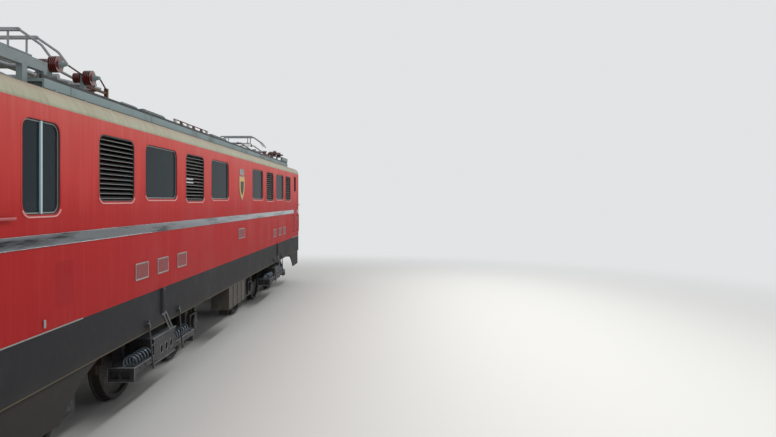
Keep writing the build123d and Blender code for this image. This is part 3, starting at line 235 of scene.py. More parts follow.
# A patch touched up with fresher enamel stands below the strip, by the driver's window
fresh = 0.5
for axis, middle, reach in (("X", -7.12, 0.165), ("Z", 1.95, 0.21), ("Y", -1.5, 1.5)):
    inside = reckon(tree, "COMPARE", apart[axis], middle, reach)
    fresh = reckon(tree, "MULTIPLY", fresh, inside)
touched = mix(tree, fresh, sooty, paint("#961015"))
above = spread(tree, apart["Z"], eaves_z - 0.001, eaves_z + 0.001)
both = mix(tree, above, touched, paint("#A9A38B"))
tree.links.new(both, shader.inputs["Base Color"])
shader.inputs["Specular IOR Level"].default_value = 0.1
finishes["red_paint"] = made
print("red enamel between", waist_z, "and", eaves_z)

# %% [markdown]
# The skirts are a dark grey satin enamel. Brake dust and floor dirt gather on the lowest hand's
# breadth, and the edge itself has rubbed down to a dull yellow brown.

# %% Grey enamel
lip_z = 1.07
made, tree, shader, place, coat = worn_coat("dusty_grey_enamel", "#2B2B2E", "#363536",
                                            patch_mm=420.0, share=0.5, gloss=(0.5, 0.65),
                                            grain_mm=7.0, relief_mm=0.12)
shader.inputs["Specular IOR Level"].default_value = 0.1
height = node(tree, "SeparateXYZ", {0: place}).outputs["Z"]
ragged = reckon(tree, "MULTIPLY_ADD", noise(tree, place, 3.0, 6.0), 0.16, height)
low = spread(tree, ragged, lip_z + 0.2, lip_z + 0.06, 0.0, 0.4)
dusty = mix(tree, low, coat, paint("#3F3A33"))
edge = reckon(tree, "COMPARE", height, lip_z + 0.003, 0.009)
rubbed = mix(tree, edge, dusty, paint("#5C5446"))
tree.links.new(rubbed, shader.inputs["Base Color"])
finishes["grey_paint"] = made

# %% [markdown]
# The roof was cream once. The cove that the photograph shows keeps a greenish cream low down and a
# pinkish brown stain above it, with runs of dirt, and the flat of the roof has gone grey.

# %% Cream roof enamel
made, tree, shader, place, coat = worn_coat("stained_cream_enamel", "#B5AE93", "#A08E76",
                                            patch_mm=600.0, share=0.5, gloss=(0.45, 0.7),
                                            grain_mm=8.0, relief_mm=0.2)
height = node(tree, "SeparateXYZ", {0: place}).outputs["Z"]
crown_z = 3.86
tone = node(tree, "ValToRGB", {"Fac": spread(tree, height, eaves_z, crown_z)})
tone.color_ramp.elements[0].color = paint("#8F8E74")
tone.color_ramp.elements[1].color = paint("#6D6A62")
for stop, code in ((0.12, "#B8BAA0"), (0.38, "#C2BAA2"), (0.62, "#BCA48A"), (0.78, "#8E8272")):
    tone.color_ramp.elements.new(stop).color = paint(code)
thin = node(tree, "Mapping", {"Vector": place, "Scale": (7.0, 0.8, 0.8)}).outputs["Vector"]
dirt = spread(tree, noise(tree, thin, 2.2, 9.0, 0.72), 0.48, 0.72, 0.0, 0.6)
stained = mix(tree, dirt, mix(tree, 0.3, tone.outputs["Color"], coat), paint("#6E5F50"))
tree.links.new(stained, shader.inputs["Base Color"])
finishes["roof_paint"] = made
print("coats for body, skirts and roof")

# %% [markdown]
# The other coats differ in colour, patch size and gloss alone, so a short table holds them. The
# walkway boards are a chalky blue grey. Frames are black with oil, motors and boxes grey, brake
# blocks rusty grey iron, wheels brown with oily dust. Wheels and brake blocks are also darkened as
# painted shade under the body. Pantographs are dull zinc grey paint.
# Porcelain is glazed, so it is smooth and nearly clean.

# %% The table of plain coats
# slot, name, clean, worn, patch mm, share, gloss low, gloss high, grain mm, relief mm, metal
coats = (
    ("board_paint", "chalky_board_paint", "#8D9EA0", "#77827F", 500, 0.5, 0.6, 0.85, 6, 0.2, 0.0),
    ("dark_steel", "blackened_steel", "#141314", "#221F1E", 120, 0.4, 0.45, 0.65, 4, 0.1, 0.0),
    ("cab_paint", "green_grey_cab_enamel", "#87907F", "#79806F", 300, 0.3, 0.45, 0.6, 5, 0.1, 0.0),
    ("seat_cover", "black_leather", "#211D1B", "#37302A", 60, 0.3, 0.4, 0.6, 3, 0.5, 0.0),
    ("machine_paint", "oily_grey_enamel", "#2A2C2D", "#1C1916", 200, 0.5, 0.45, 0.7, 5, 0.3, 0.0),
    ("box_paint", "dusty_box_enamel", "#3E3A34", "#524B40", 260, 0.5, 0.5, 0.75, 5, 0.2, 0.0),
    ("frame_paint", "oiled_black_frame", "#18181A", "#2A241F", 180, 0.5, 0.45, 0.75, 5, 0.4, 0.0),
    ("gear_paint", "oiled_gear_paint", "#262629", "#3B352F", 160, 0.45, 0.42, 0.7, 4, 0.3, 0.0),
    ("fitting_paint", "satin_fitting_paint", "#38383C", "#4E4A46", 90, 0.4, 0.35, 0.6, 4, 0.15, 0),
    ("grip_paint", "worn_red_grip_paint", "#B4484B", "#DDA6A2", 60, 0.4, 0.25, 0.45, 3, 0.1, 0.0),
    ("worn_steel", "greased_steel", "#4A4744", "#2A2622", 90, 0.5, 0.3, 0.6, 4, 0.3, 0.8),
    # Painted shade: the brake iron and the wheel steel are darkened for the shade under the body.
    ("cast_iron", "rusty_brake_iron", "#352820", "#4A3324", 70, 0.55, 0.7, 0.95, 3, 0.6, 0.1),
    ("wheel_steel", "oily_wheel_steel", "#211C19", "#151211", 200, 0.5, 0.55, 0.85, 4, 0.3, 0.0),
    ("panto_paint", "dull_zinc_paint", "#A3A7A9", "#77746E", 120, 0.4, 0.3, 0.5, 4, 0.15, 0.35),
    ("pale_paint", "weathered_pale_grey", "#8B9799", "#6F746F", 260, 0.5, 0.45, 0.7, 5, 0.2, 0.0),
    ("copper_bar", "brown_copper", "#6B4A38", "#3F332B", 80, 0.5, 0.4, 0.65, 3, 0.1, 0.7),
    ("brown_glaze", "red_brown_porcelain", "#6E201A", "#4A1512", 60, 0.4, 0.12, 0.3, 8, 0.05, 0.0),
    ("white_glaze", "white_porcelain", "#CFCDC2", "#A39E90", 60, 0.35, 0.12, 0.3, 8, 0.05, 0.0),
)
for (slot, name, clean, worn, patch_mm, share, low, high, grain_mm, relief_mm, metal) in coats:
    finishes[slot] = worn_coat(name, clean, worn, patch_mm, share, (low, high), grain_mm, relief_mm,
                               metal=metal)[0]
for slot in ("brown_glaze", "white_glaze"):
    glaze = finishes[slot].node_tree.nodes["Principled BSDF"]
    glaze.inputs["Coat Weight"].default_value = 0.8
    glaze.inputs["Coat Roughness"].default_value = 0.06
print("coats made:", len(finishes))

# %% [markdown]
# The panes are toughened glass before dark rooms. A dark green-grey tint with a part of
# transmission lets the inside show dimly, and the film of dust takes most of the shine away.

# %% Window glass
finishes["glass"], _, shader, _, _ = worn_coat("dusty_window_glass", "#26333A", "#333F45", 350.0,
                                               0.4, (0.02, 0.08), 30.0, 0.01)
shader.inputs["Transmission Weight"].default_value = 0.3
shader.inputs["IOR"].default_value = 1.45
shader.inputs["Specular IOR Level"].default_value = 0.0

# %% [markdown]
# Lamp lenses are clear pressed glass in front of a bright bowl, so they stay pale and smooth.

# %% Lamp glass
finishes["lamp_glass"], _, shader, _, _ = worn_coat("pressed_lamp_glass", "#D9DCD8", "#C9C9C0",
                                                    60.0, 0.3, (0.04, 0.12), 6.0, 0.3)
shader.inputs["Transmission Weight"].default_value = 0.7

# %% [markdown]
# The strip under the windows is rolled stainless steel, polished along its length. Its dark and
# pale smears, drawn out along X, are painted reflections of what stands round it, and its
# roughness is low.

# %% Polished strip
# Painted reflection: the dark worn colour, in long smears along X, stands for the hall mirrored in
# the strip.
finishes["polished_strip"] = worn_coat("polished_stainless_with_painted_reflection", "#85898E", "#1E2023", 260.0, 0.6,
                                       (0.08, 0.24), 6.0, 0.05, (0.25, 1.0, 3.0), 0.6)[0]

# %% [markdown]
# Rubber seals and dull drawn alloy have no node of their own among the solids, so they are made
# here for the pieces that follow. Every solid then gets the finish that its record names.

# %% Finishes on the solids
black_rubber_and_gap_shade = worn_coat("black_seal_rubber", "#151515", "#26241F", 90.0, 0.4, (0.5, 0.8), 3.0,
                        0.1)[0]
dull_alloy = worn_coat("dull_alloy", "#9A9A98", "#77756F", 120.0, 0.4, (0.3, 0.5), 3.0, 0.05,
                       metal=0.9)[0]
for subpart in frame["record"]["subparts"]:
    solid = frame["nodes"][subpart["node"]]
    solid.data.materials.clear()
    solid.data.materials.append(finishes[subpart["material_slot"]])
print("finishes on", len(frame["nodes"]), "nodes")

# %% [markdown]
# Every added piece is a grid of points with four-cornered faces between them. A shape is a pair:
# the points and the faces. Ends are closed by a last ring drawn together into one point, and the
# doubled points are merged when the mesh is made. What stands on one flank stands on the other
# too, turned half round, because the locomotive runs both ways.


# %% Grids of points
def grid_faces(rows, columns, ring_rows=False):
    """The four corners of each cell of a grid whose points are counted row by row. Each row is a
    closed ring, and the rows may make a ring too."""
    row = np.arange(rows if ring_rows else rows - 1)[:, None]
    column = np.arange(columns)[None, :]
    after = (row + 1) % rows
    beside = (column + 1) % columns
    corners = np.broadcast_arrays(row * columns + column, row * columns + beside,
                                  after * columns + beside, after * columns + column)
    return np.stack(corners, -1).reshape(-1, 4)


def grid_shape(points, ring_rows=False):
    """A shape from an array of rows by columns by 3."""
    return points.reshape(-1, 3), grid_faces(*points.shape[:2], ring_rows)


# %% Joining, copying and turning shapes
def together(shapes):
    """Several shapes as one: each one's faces are counted on from the points before it."""
    starts = np.cumsum([0] + [len(points) for points, _ in shapes[:-1]])
    return (np.concatenate([points for points, _ in shapes]),
            np.concatenate([faces + start for (_, faces), start in zip(shapes, starts)]))


def copies(shape, places):
    """One shape at many places, moved without turning."""
    points, faces = shape
    places = np.asarray(places, float)
    shifted = (points[None] + places[:, None]).reshape(-1, 3)
    counted = faces[None] + (np.arange(len(places)) * len(points))[:, None, None]
    return shifted, counted.reshape(-1, 4)


def about(shape, x):
    """The shape moved along X."""
    return shape[0] + (x, 0.0, 0.0), shape[1]


def both_flanks(shapes):
    """Each shape, then the same turned half round the upright axis: X and Y change sign."""
    return [one for points, faces in shapes
            for one in ((points, faces), (points * (-1.0, -1.0, 1.0), faces))]


def mirrored(shape):
    """The shape on the other side: Y changes sign and the faces are read backwards."""
    return shape[0] * (1.0, -1.0, 1.0), shape[1][:, ::-1]


def path_of(x, y, z):
    """Points from three coordinates, each of them an array or one number for all points."""
    return np.stack(np.broadcast_arrays(*(np.asarray(c, float) for c in (x, y, z))), -1)


# %% From shapes to a piece
crease = math.radians(35.0)


def piece(name, shapes, slot, finish=None, body="body"):
    """Makes one mesh of the shapes, closes its seams, turns its faces out and hangs it on a
    body. It wears its slot's own finish unless it is given another."""
    points, faces = together(shapes)
    mesh = bpy.data.meshes.new(name)
    mesh.from_pydata(points.tolist(), [], faces.tolist())
    work = bmesh.new()
    work.from_mesh(mesh)
    bmesh.ops.remove_doubles(work, verts=work.verts, dist=1e-6)
    bmesh.ops.dissolve_degenerate(work, edges=work.edges, dist=1e-7)
    bmesh.ops.recalc_face_normals(work, faces=work.faces)
    work.to_mesh(mesh)
    work.free()
    mesh.polygons.foreach_set("use_smooth", np.ones(len(mesh.polygons), bool))
    mesh.set_sharp_from_angle(angle=crease)
    mesh.materials.append(finish or finishes[slot])
    made = bpy.data.objects.new(name, mesh)
    bpy.context.scene.collection.objects.link(made)
    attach(made, body)
    print(name, "faces", len(mesh.polygons))


# %% [markdown]
# A few makers cover most small pieces. A rounded box is a ball cut into eight parts that are
# pulled to its corners. A tube carries a circle along a path, and a rod is a straight tube. A
# turned piece spins a profile. A frame carries a profile round a rectangle with round corners, as
# a rubber seal does.


# %% Rounded boxes
def rounded_box(low, high, radius, steps=2):
    """The point in direction d is the corner that d's signs choose, drawn in by the radius, plus
    the radius times d."""
    low, high = np.asarray(low, float), np.asarray(high, float)
    right = math.pi / 2
    turn = np.concatenate([np.linspace(q, q + 1, steps + 1) for q in range(4)]) * right
    turn_sign = np.repeat([(1, 1), (-1, 1), (-1, -1), (1, -1)], steps + 1, axis=0)
    quarter = np.linspace(0, 1, steps + 1)
    lift = np.concatenate([quarter - 1, quarter])[:, None] * right
    lift_sign = np.repeat([-1, 1], steps + 1)[:, None]
    ball = np.stack(np.broadcast_arrays(np.cos(lift) * np.cos(turn), np.cos(lift) * np.sin(turn),
                                        np.sin(lift)), -1)
    signs = np.stack(np.broadcast_arrays(turn_sign[:, 0], turn_sign[:, 1], lift_sign), -1)
    middle = (low + high) / 2
    points = middle + signs * ((high - low) / 2 - radius) + radius * ball
    foot = np.broadcast_to([middle[0], middle[1], low[2]], points[:1].shape)
    head = np.broadcast_to([middle[0], middle[1], high[2]], points[:1].shape)
    return grid_shape(np.concatenate([foot, points, head]))


# %% Tubes, rods and turned pieces
def tube(path, radius, sides=12, ring=False, flat=(0.0, 0.0, 1.0)):
    """A circle carried along the path: point = path + radius * (cos * across + sin * over), where
    across is square to the path and to the direction called flat."""
    path = np.asarray(path, float)
    along = np.roll(path, -1, 0) - np.roll(path, 1, 0) if ring else np.gradient(path, axis=0)
    along = along / np.linalg.norm(along, axis=1)[:, None]
    across = np.cross(along, flat)
    across = across / np.linalg.norm(across, axis=1)[:, None]
    over = np.cross(across, along)
    turn = (np.arange(sides) / sides * 2 * math.pi)[None, :, None]
    points = path[:, None] + radius * (np.cos(turn) * across[:, None]
                                       + np.sin(turn) * over[:, None])
    if ring:
        return grid_shape(points, ring_rows=True)
    first = np.broadcast_to(path[0], points[:1].shape)
    last = np.broadcast_to(path[-1], points[:1].shape)
    return grid_shape(np.concatenate([first, points, last]))


def rod(start, finish, radius, sides=8, flat=(0.0, 0.0, 1.0)):
    """A straight tube between two points, with one more ring halfway."""
    return tube(np.linspace(start, finish, 3), radius, sides, flat=flat)


def turned(profile, middle, axis, sides=24):
    """A profile of (along, radius) pairs spun round an axis: 0, 1 or 2 for X, Y or Z."""
    profile = np.asarray(profile, float)
    turn = np.arange(sides) / sides * 2 * math.pi
    points = np.zeros((len(profile), sides, 3))
    points[..., axis] = profile[:, 0][:, None]
    points[..., (axis + 1) % 3] = profile[:, 1][:, None] * np.cos(turn)
    points[..., (axis + 2) % 3] = profile[:, 1][:, None] * np.sin(turn)
    return grid_shape(points + np.asarray(middle, float))


# %% Round frames and rounded paths
def round_frame(width, height, corner, steps=6):
    """A rectangle with round corners: its points and the direction out of it at each of them."""
    turn = np.linspace(0, math.pi / 2, steps + 1)[None] + np.arange(4)[:, None] * math.pi / 2
    out = np.stack([np.cos(turn), np.sin(turn)], -1)
    quarter = np.array([(1, 1), (-1, 1), (-1, -1), (1, -1)])[:, None]
    middle = quarter * (width / 2 - corner, height / 2 - corner)
    return (middle + corner * out).reshape(-1, 2), out.reshape(-1, 2)


def side_frame(centre, width, height, corner, profile, side):
    """A profile of (outwards in the frame, out of the wall) pairs carried round a side window."""
    line, out = round_frame(width, height, corner)
    profile = np.asarray(profile, float)
    flat = line[:, None] + out[:, None] * profile[None, :, :1]
    return grid_shape(path_of(centre[0] + flat[..., 0], centre[1] + side * profile[:, 1],
                              centre[2] + flat[..., 1]), ring_rows=True)


def polyline(corners, bend, steps=5):
    """A path through corners. Each inner one, c, is rounded by the curve (1-t)^2 a + 2t(1-t) c +
    t^2 b, where a and b lie on the runs at bend from it."""
    corners = np.asarray(corners, float)
    runs = np.diff(corners, axis=0)
    runs = runs / np.linalg.norm(runs, axis=1)[:, None] * bend
    inner = corners[1:-1]
    t = np.linspace(0, 1, steps)[None, :, None]
    curved = ((1 - t)**2 * (inner - runs[:-1])[:, None] + 2 * t * (1 - t) * inner[:, None]
              + t**2 * (inner + runs[1:])[:, None])
    return np.concatenate([corners[:1], curved.reshape(-1, 3), corners[-1:]])


# %% [markdown]
# Each side window sits in the wall with a rubber seal round the glass and a slim metal rim. Behind
# the seal an inner frame of drawn alloy holds the pane, and its thin pale line is what the eye
# picks out first. The table repeats the sizes of the openings, with heights over the line on which
# the wheels' treads roll. The flanges reach 30 mm lower, down to the floor.

# %% Window seals, rims and inner frames
half_width = 1.485
tread_z = 0.030
light_corner = 0.120
# kind, middle, width, foot, head
lights = (
    ("driver", -7.500, 0.640, 2.558, 3.418),
    ("louvre", -5.950, 0.950, 2.670, 3.418),
    ("window", -4.555, 1.200, 2.700, 3.418),
    ("louvre", -3.107, 0.950, 2.670, 3.418),
    ("window", -1.625, 1.200, 2.700, 3.418),
    ("window", 1.625, 1.200, 2.700, 3.418),
    ("louvre", 3.107, 0.950, 2.670, 3.418),
    ("window", 4.555, 1.200, 2.700, 3.418),
    ("louvre", 5.950, 0.950, 2.670, 3.418),
)
openings = [(kind, side, (-side * x, side * half_width, tread_z + (foot + head) / 2), width,
             head - foot) for side in (-1, 1) for kind, x, width, foot, head in lights]
seal_profile = [(-0.001, -0.024), (-0.022, -0.024), (-0.026, -0.014), (-0.018, -0.006),
                (-0.001, -0.004)]
rim_profile = [(-0.001, -0.004), (-0.016, -0.006), (-0.016, 0.0), (-0.012, 0.002), (0.006, 0.003),
               (0.009, 0.0005), (-0.001, 0.0005)]
inner_profile = [(-0.0265, -0.0245), (-0.0345, -0.0245), (-0.0345, -0.0165), (-0.0265, -0.0150)]


def framed(profile, kinds=("driver", "window")):
    """One profile carried round every side opening of these kinds."""
    return [side_frame(centre, width, height, light_corner, profile, side)
            for kind, side, centre, width, height in openings if kind in kinds]


piece("window_seals", framed(seal_profile), "dark_steel", black_rubber_and_gap_shade)
piece("window_rims", framed(rim_profile, ("driver", "window", "louvre")), "red_paint")
piece("inner_window_frames", framed(inner_profile), "polished_strip", dull_alloy)

# %% [markdown]
# The driver's window is in two panes that slide past a pale upright bar. Each slat of a louvre
# shows a worn bright edge. The lower lip of every opening stands a little prouder than its rim,
# follows its foot and turns up into both corners, and its pale pink is a painted highlight, for
# the light from above that catches the sill.

# %% Window bars, slat edges and lips with painted highlights
bar_enamel = worn_coat("pale_blue_bar_enamel", "#BBD5DC", "#9DB4BA", 90.0, 0.3, (0.3, 0.45), 3.0,
                       0.05)[0]
# Painted highlight: a pale pink for the light that catches the lower lip of each opening.
painted_sill_highlight = worn_coat("pink_sill_highlight_paint", "#E0A39D", "#C9807C", 80.0, 0.4, (0.4, 0.6), 4.0, 0.1)[0]
bar_half = 0.014
slat_pitch = 0.050
rim_width = 0.034
slat_lip = 0.0028
lip_radius = 0.0075
lip_rise = 0.075
bars, slat_edges, lips = [], [], []
for kind, side, (x, y, z), width, height in openings:
    if kind == "driver":
        low_y, high_y = sorted((y - side * 0.024, y - side * 0.004))
        bars.append(rounded_box((x - bar_half, low_y, z - height / 2 + 0.02),
                                (x + bar_half, high_y, z + height / 2 - 0.02), 0.004))
    if kind == "louvre":
        room = height - 2 * rim_width
        count = int(room / slat_pitch)
        slat_z = z + ((np.arange(count) + 0.5) / count - 0.5) * room
        reach = width / 2 - 0.036
        lip = rounded_box((-reach, -slat_lip, -slat_lip), (reach, slat_lip, slat_lip), 0.001, 1)
        slat_edges.append(copies(lip, path_of(x, y - side * 0.0068, slat_z - 0.0118)))
    # The lips below are painted highlights along the foot of each opening.
    line, out = round_frame(width, height, light_corner)
    line = line + out * 0.005
    line = line[line[:, 1] < -height / 2 + lip_rise]
    line = line[np.argsort(line[:, 0])]
    lips.append(tube(path_of(x + line[:, 0], y + side * 0.002, z + line[:, 1]), lip_radius, 6,
                     flat=(0.0, 1.0, 0.0)))
piece("window_bars", bars, "polished_strip", bar_enamel)
piece("slat_edges", slat_edges, "dark_steel", dull_alloy)
piece("window_lip_highlights", lips, "red_paint", painted_sill_highlight)

# %% [markdown]
# A few more shapes are needed from here on: a plate with round corners, a bolt head and the curve
# of the noses, whose plan is a flat arc with a tighter one at each corner.

# %% Plates, bolts and the nose's curve
nose_tip = 8.6
plan_radius = 6.066
straight_side = 8.12


def flank_plate(centre, width, height, corner, low, high, side, soft=0.002):
    """A plate on a flank: rings of one rounded rectangle, first up its edge, then over the soft
    arris and in to the middle. Low and high are its back and face over the wall."""
    line, out = round_frame(width, height, corner)
    rings = []
    for scale, inset, depth in ((0, 0, low), (1, 0, low), (1, 0, high - soft), (1, soft, high),
                                (0, 0, high)):
        flat = (line - out * inset) * scale
        rings.append(path_of(centre[0] + flat[:, 0], centre[1] + side * depth,
                             centre[2] + flat[:, 1]))
    return grid_shape(np.stack(rings))


def bolt(radius, height, middle, axis, way=1.0):
    """A bolt head with eight sides: a short cylinder with a bevelled edge."""
    profile = np.array([(0, 0), (0, radius), (0.6 * height, radius), (height, 0.6 * radius),
                        (height, 0)])
    return turned(profile * (way, 1.0), middle, axis, 8)


def nose_x(y, z):
    """How far the nose reaches: the flat arc of its plan, or the leaning line above the strip."""
    plan = nose_tip - plan_radius + np.sqrt(plan_radius**2 - np.asarray(y, float)**2)
    return np.minimum(plan, 8.62 - 0.18 * (np.asarray(z, float) - 2.43))


def arc_through(first, middle, last, steps):
    """Points of the circle through three points. Its centre is where the bisectors of the two
    chords meet."""
    first, middle, last = (np.asarray(point, float) for point in (first, middle, last))
    chords = np.stack([middle - first, last - middle]) * 2
    centre = np.linalg.solve(chords, [middle @ middle - first @ first,
                                      last @ last - middle @ middle])
    angles = np.unwrap([math.atan2(*(point - centre)[::-1]) for point in (first, middle, last)])
    turn = np.linspace(angles[0], angles[2], steps)
    return centre + np.linalg.norm(first - centre) * np.stack([np.cos(turn), np.sin(turn)], -1)


nose_arc_y = np.linspace(1.15, -1.15, 17)
nose_half = np.concatenate([[(straight_side, half_width)],
                            arc_through((8.345, 1.395), (8.44, 1.31), (8.49, 1.15), 8)])
nose_path = np.concatenate([nose_half[:-1],
                            np.stack([nose_x(nose_arc_y, 1.6), nose_arc_y], -1),
                            nose_half[:-1][::-1] * (1.0, -1.0)])
print("nose plan points", len(nose_path))

# %% [markdown]
# A bright ledge caps the skirt round each nose, as far back as the first corner of the wall's
# lower sheet. The polished strip has a rolled bead along both edges, which catches the lamps and
# leaves a dark line beside it. The doorways interrupt the strip, so its beads stop there too.

# %% Ledges and strip beads
ledge_reach = 6.77
ledge_radius = 0.0075
bead_radius = 0.0035
strip_edges = (2.3195, 2.4255)
strip_proud = 0.006
jambs = (7.043, 7.757)
ledges, beads = [], []
for end in (-1, 1):
    line = np.concatenate([[(ledge_reach, half_width)], nose_path, [(ledge_reach, -half_width)]])
    ledges.append(tube(path_of(end * line[:, 0], line[:, 1], waist_z), ledge_radius, 8))
    grown = nose_path * (1.0 + strip_proud / nose_tip, 1.0 + strip_proud / half_width)
    beads += [tube(path_of(end * grown[:, 0], grown[:, 1], z), bead_radius, 6)
              for z in strip_edges]
for side in (-1, 1):
    shut, free = sorted(-side * jamb for jamb in jambs)
    y = side * (half_width + strip_proud)
    beads += [rod((low, y, z), (high, y, z), bead_radius, 6) for z in strip_edges
              for low, high in ((-straight_side, shut), (free, straight_side))]
piece("waist_ledges", ledges, "polished_strip", dull_alloy)
piece("strip_beads", beads, "polished_strip")

# %% [markdown]
# Both flanks carry blank plates. Three small ones stand below the strip on each half, with one
# long plate, a shield and an oval badge at the middle of the body. Each is a pressed sheet with a
# slim raised rim and four screws, and nothing is written on any of them. A small catch stands over
# the skirt below the driver's window.

# %% Blank plates and catches
plate_red = worn_coat("dark_plate_red", "#7E1B1E", "#9C3433", 80.0, 0.4, (0.35, 0.5), 3.0, 0.05)[0]
# middle, height over the floor, width, height
plate_places = [(x, 1.86, 0.40, 0.20) for x in (-5.26, -4.54, -3.76, 3.76, 4.54, 5.26)]
plate_places.append((0.0, 2.05, 0.55, 0.20))
plate_thick = 0.004
screw_inset = 0.03
rim_bead = [(0.0, 0.0015), (0.004, 0.005), (0.001, 0.008), (-0.011, 0.008), (-0.014, 0.005),
            (-0.014, 0.0015)]
plates, plate_rims, screws, catches = [], [], [], []
for side in (-1, 1):
    wall_y = side * half_width
    for x, z, width, height in plate_places:
        plates.append(flank_plate((x, wall_y, z), width, height, 0.012, 0.0, plate_thick, side))
        plate_rims.append(side_frame((x, wall_y, z), width, height, 0.012, rim_bead, side))
        screws += [bolt(0.006, side * plate_thick,
                        (x + dx * (width / 2 - screw_inset), wall_y + side * plate_thick,
                         z + dz * (height / 2 - screw_inset)), 1)
                   for dx in (-1, 1) for dz in (-1, 1)]
    catches.append(flank_plate((side * 7.475, wall_y, 1.637), 0.036, 0.075, 0.012, 0.0, 0.012,
                               side))
piece("blank_plates", plates, "red_paint", plate_red)
piece("plate_rims", plate_rims, "polished_strip", dull_alloy)
piece("plate_screws", screws, "polished_strip", dull_alloy)
piece("side_catches", catches, "fitting_paint", dull_alloy)

# %% [markdown]
# The shield is three sheets, each smaller and prouder than the one below it: a rim, a yellow face
# and a dark field, all left plain.

# %% Shield and badge
shield_yellow = worn_coat("yellow_shield_enamel", "#C8A437", "#9A7A2C", 60.0, 0.35, (0.25, 0.4),
                          4.0, 0.05)[0]
shield_width, shield_height, shield_z = 0.46, 0.50, 2.97


def shield_line(width, height, steps=16):
    """The outline from the top middle down to the point and back up: straight at the shoulder,
    then the sides draw in by the power 2.2 of the way down."""
    down = np.linspace(0.0, 1.0, steps)
    right = np.column_stack([width / 2 * (1 - down**2.2 * 0.999),
                             height / 2 - height * (0.35 + 0.65 * down)])
    right = np.concatenate([[(0.0, height / 2), (width / 2, height / 2)], right])
    return np.concatenate([right, right[::-1] * (-1.0, 1.0)])


yellow_faces, badge_rims, fields = [], [], []
for side in (-1, 1):
    for scale, low, high, sheets in ((1.0, 0.0, 0.008, badge_rims),
                                     (0.93, 0.007, 0.011, yellow_faces),
                                     (0.58, 0.010, 0.0135, fields)):
        outline = shield_line(shield_width * scale, shield_height * scale)
        sheets.append(grid_shape(np.stack([
            path_of(outline[:, 0] * s, side * (half_width + proud), shield_z + outline[:, 1] * s)
            for s, proud in ((0.0, low), (1.0, low), (1.0, high - 0.002), (0.99, high),
                             (0.0, high))])))
    badge_rims.append(flank_plate((0.0, side * half_width, 3.305), 0.40, 0.13, 0.0645, 0.0, 0.008,
                                  side))
piece("shield_faces", yellow_faces, "polished_strip", shield_yellow)
piece("shield_fields", fields, "box_paint")
piece("badge_plates", badge_rims, "polished_strip", dull_alloy)

# %% [markdown]
# The boards along the roof are pale sheets on edge with butt joints about every two metres, held
# by small clips over a gap. A black strip fills the gap as painted shade. A darker kick rail
# stands on top of them.

# %% Board joints, clips and kick rails
board_end = 7.1
board_y = 1.285
joint_x = np.arange(-6.6, 6.7, 2.2)
clip_x = np.arange(-6.9, 7.0, 0.6)
joint = rounded_box((-0.003, -0.0012, 3.795), (0.003, 0.0012, 3.875), 0.0008, 1)
clip = rounded_box((-0.018, -0.006, 3.776), (0.018, 0.006, 3.802), 0.003, 1)
# Painted shade: a black strip stands in the gap under the boards, where there is only shade.
gap_strip = rounded_box((-board_end, 1.262, 3.770), (board_end, 1.280, 3.7895), 0.003, 1)
kick_rail = rounded_box((-board_end + 0.02, 1.222, 3.8805), (board_end - 0.02, 1.246, 3.926), 0.004,
                        1)
for name, shape, slot, finish in (
        ("board_joints", copies(joint, path_of(joint_x, board_y, 0.0)), "dark_steel", black_rubber_and_gap_shade),
        ("board_clips", copies(clip, path_of(clip_x, board_y + 0.003, 0.0)), "board_paint", None),
        ("board_gap_shade_strips", gap_strip, "dark_steel", black_rubber_and_gap_shade),
        ("kick_rails", kick_rail, "gear_paint", None)):
    piece(name, both_flanks([shape]), slot, finish)

# %% [markdown]
# Coil springs turn up twice on this locomotive: thick ones lie in the arms of the spring gear, and
# thin ones draw the pantographs up. A coil is a tube along a helix.


# %% A coil spring
def coil(start, finish, radius, wire, turns, steps=10, sides=5):
    """A helix from start to finish along X: the angle grows evenly with the distance."""
    path = np.linspace(start, finish, turns * steps + 1)
    turn = np.linspace(0.0, turns * 2 * math.pi, turns * steps + 1)
    path = path + radius * path_of(0.0, np.cos(turn), np.sin(turn))
    return tube(path, wire, sides, flat=(1.0, 0.0, 0.0))


# %% [markdown]
# The spring gear hangs outside the wheels, and hands and boots have rubbed its edges. A thin bead
# of bright steel runs along each of those edges: the ribs, the shelf, the oval holes and the end
# boxes. Its brightness is partly rubbed steel and partly a painted highlight, for the light that
# the edges catch. Each side is the other turned half round about the bogie's middle. In each arm
# lies an oily coil spring of thick wire.

# %% Rubbed edges with painted highlights, and springs of the spring gear
rubbed_steel_and_highlight = worn_coat("rubbed_steel_and_highlight", "#8A8D90", "#55524E", 50.0, 0.45, (0.32, 0.5), 3.0, 0.1,
                         metal=0.5)[0]
spring_steel = worn_coat("oiled_spring_steel", "#59636C", "#24272B", 60.0, 0.4, (0.22, 0.42), 3.0,
                         0.1, metal=0.4)[0]
ends = ((-1, "front"), (1, "rear"))
bogie_centre = 4.35
gear_y = 1.45
shelf_z = 0.917
flange_z = 0.700
rib_pitch = 0.046
rib_lean = math.radians(35.0)
spring_y, spring_z = 1.335, 0.736
spring_radius, spring_wire, spring_pitch = 0.072, 0.013, 0.092


def bead_loop(corners, radius, flat):
    """A bead round a closed run of corners."""
    path = np.concatenate([np.linspace(a, b, 4)[:-1] for a, b in
                           zip(corners, np.roll(corners, -1, 0))])
    return tube(path, radius, 6, ring=True, flat=flat)


# The beads in edges are bright steel: rubbed wear, and also painted highlights along the gear's
# edges.
edges, gear_bolts, gear_springs = [], [], []
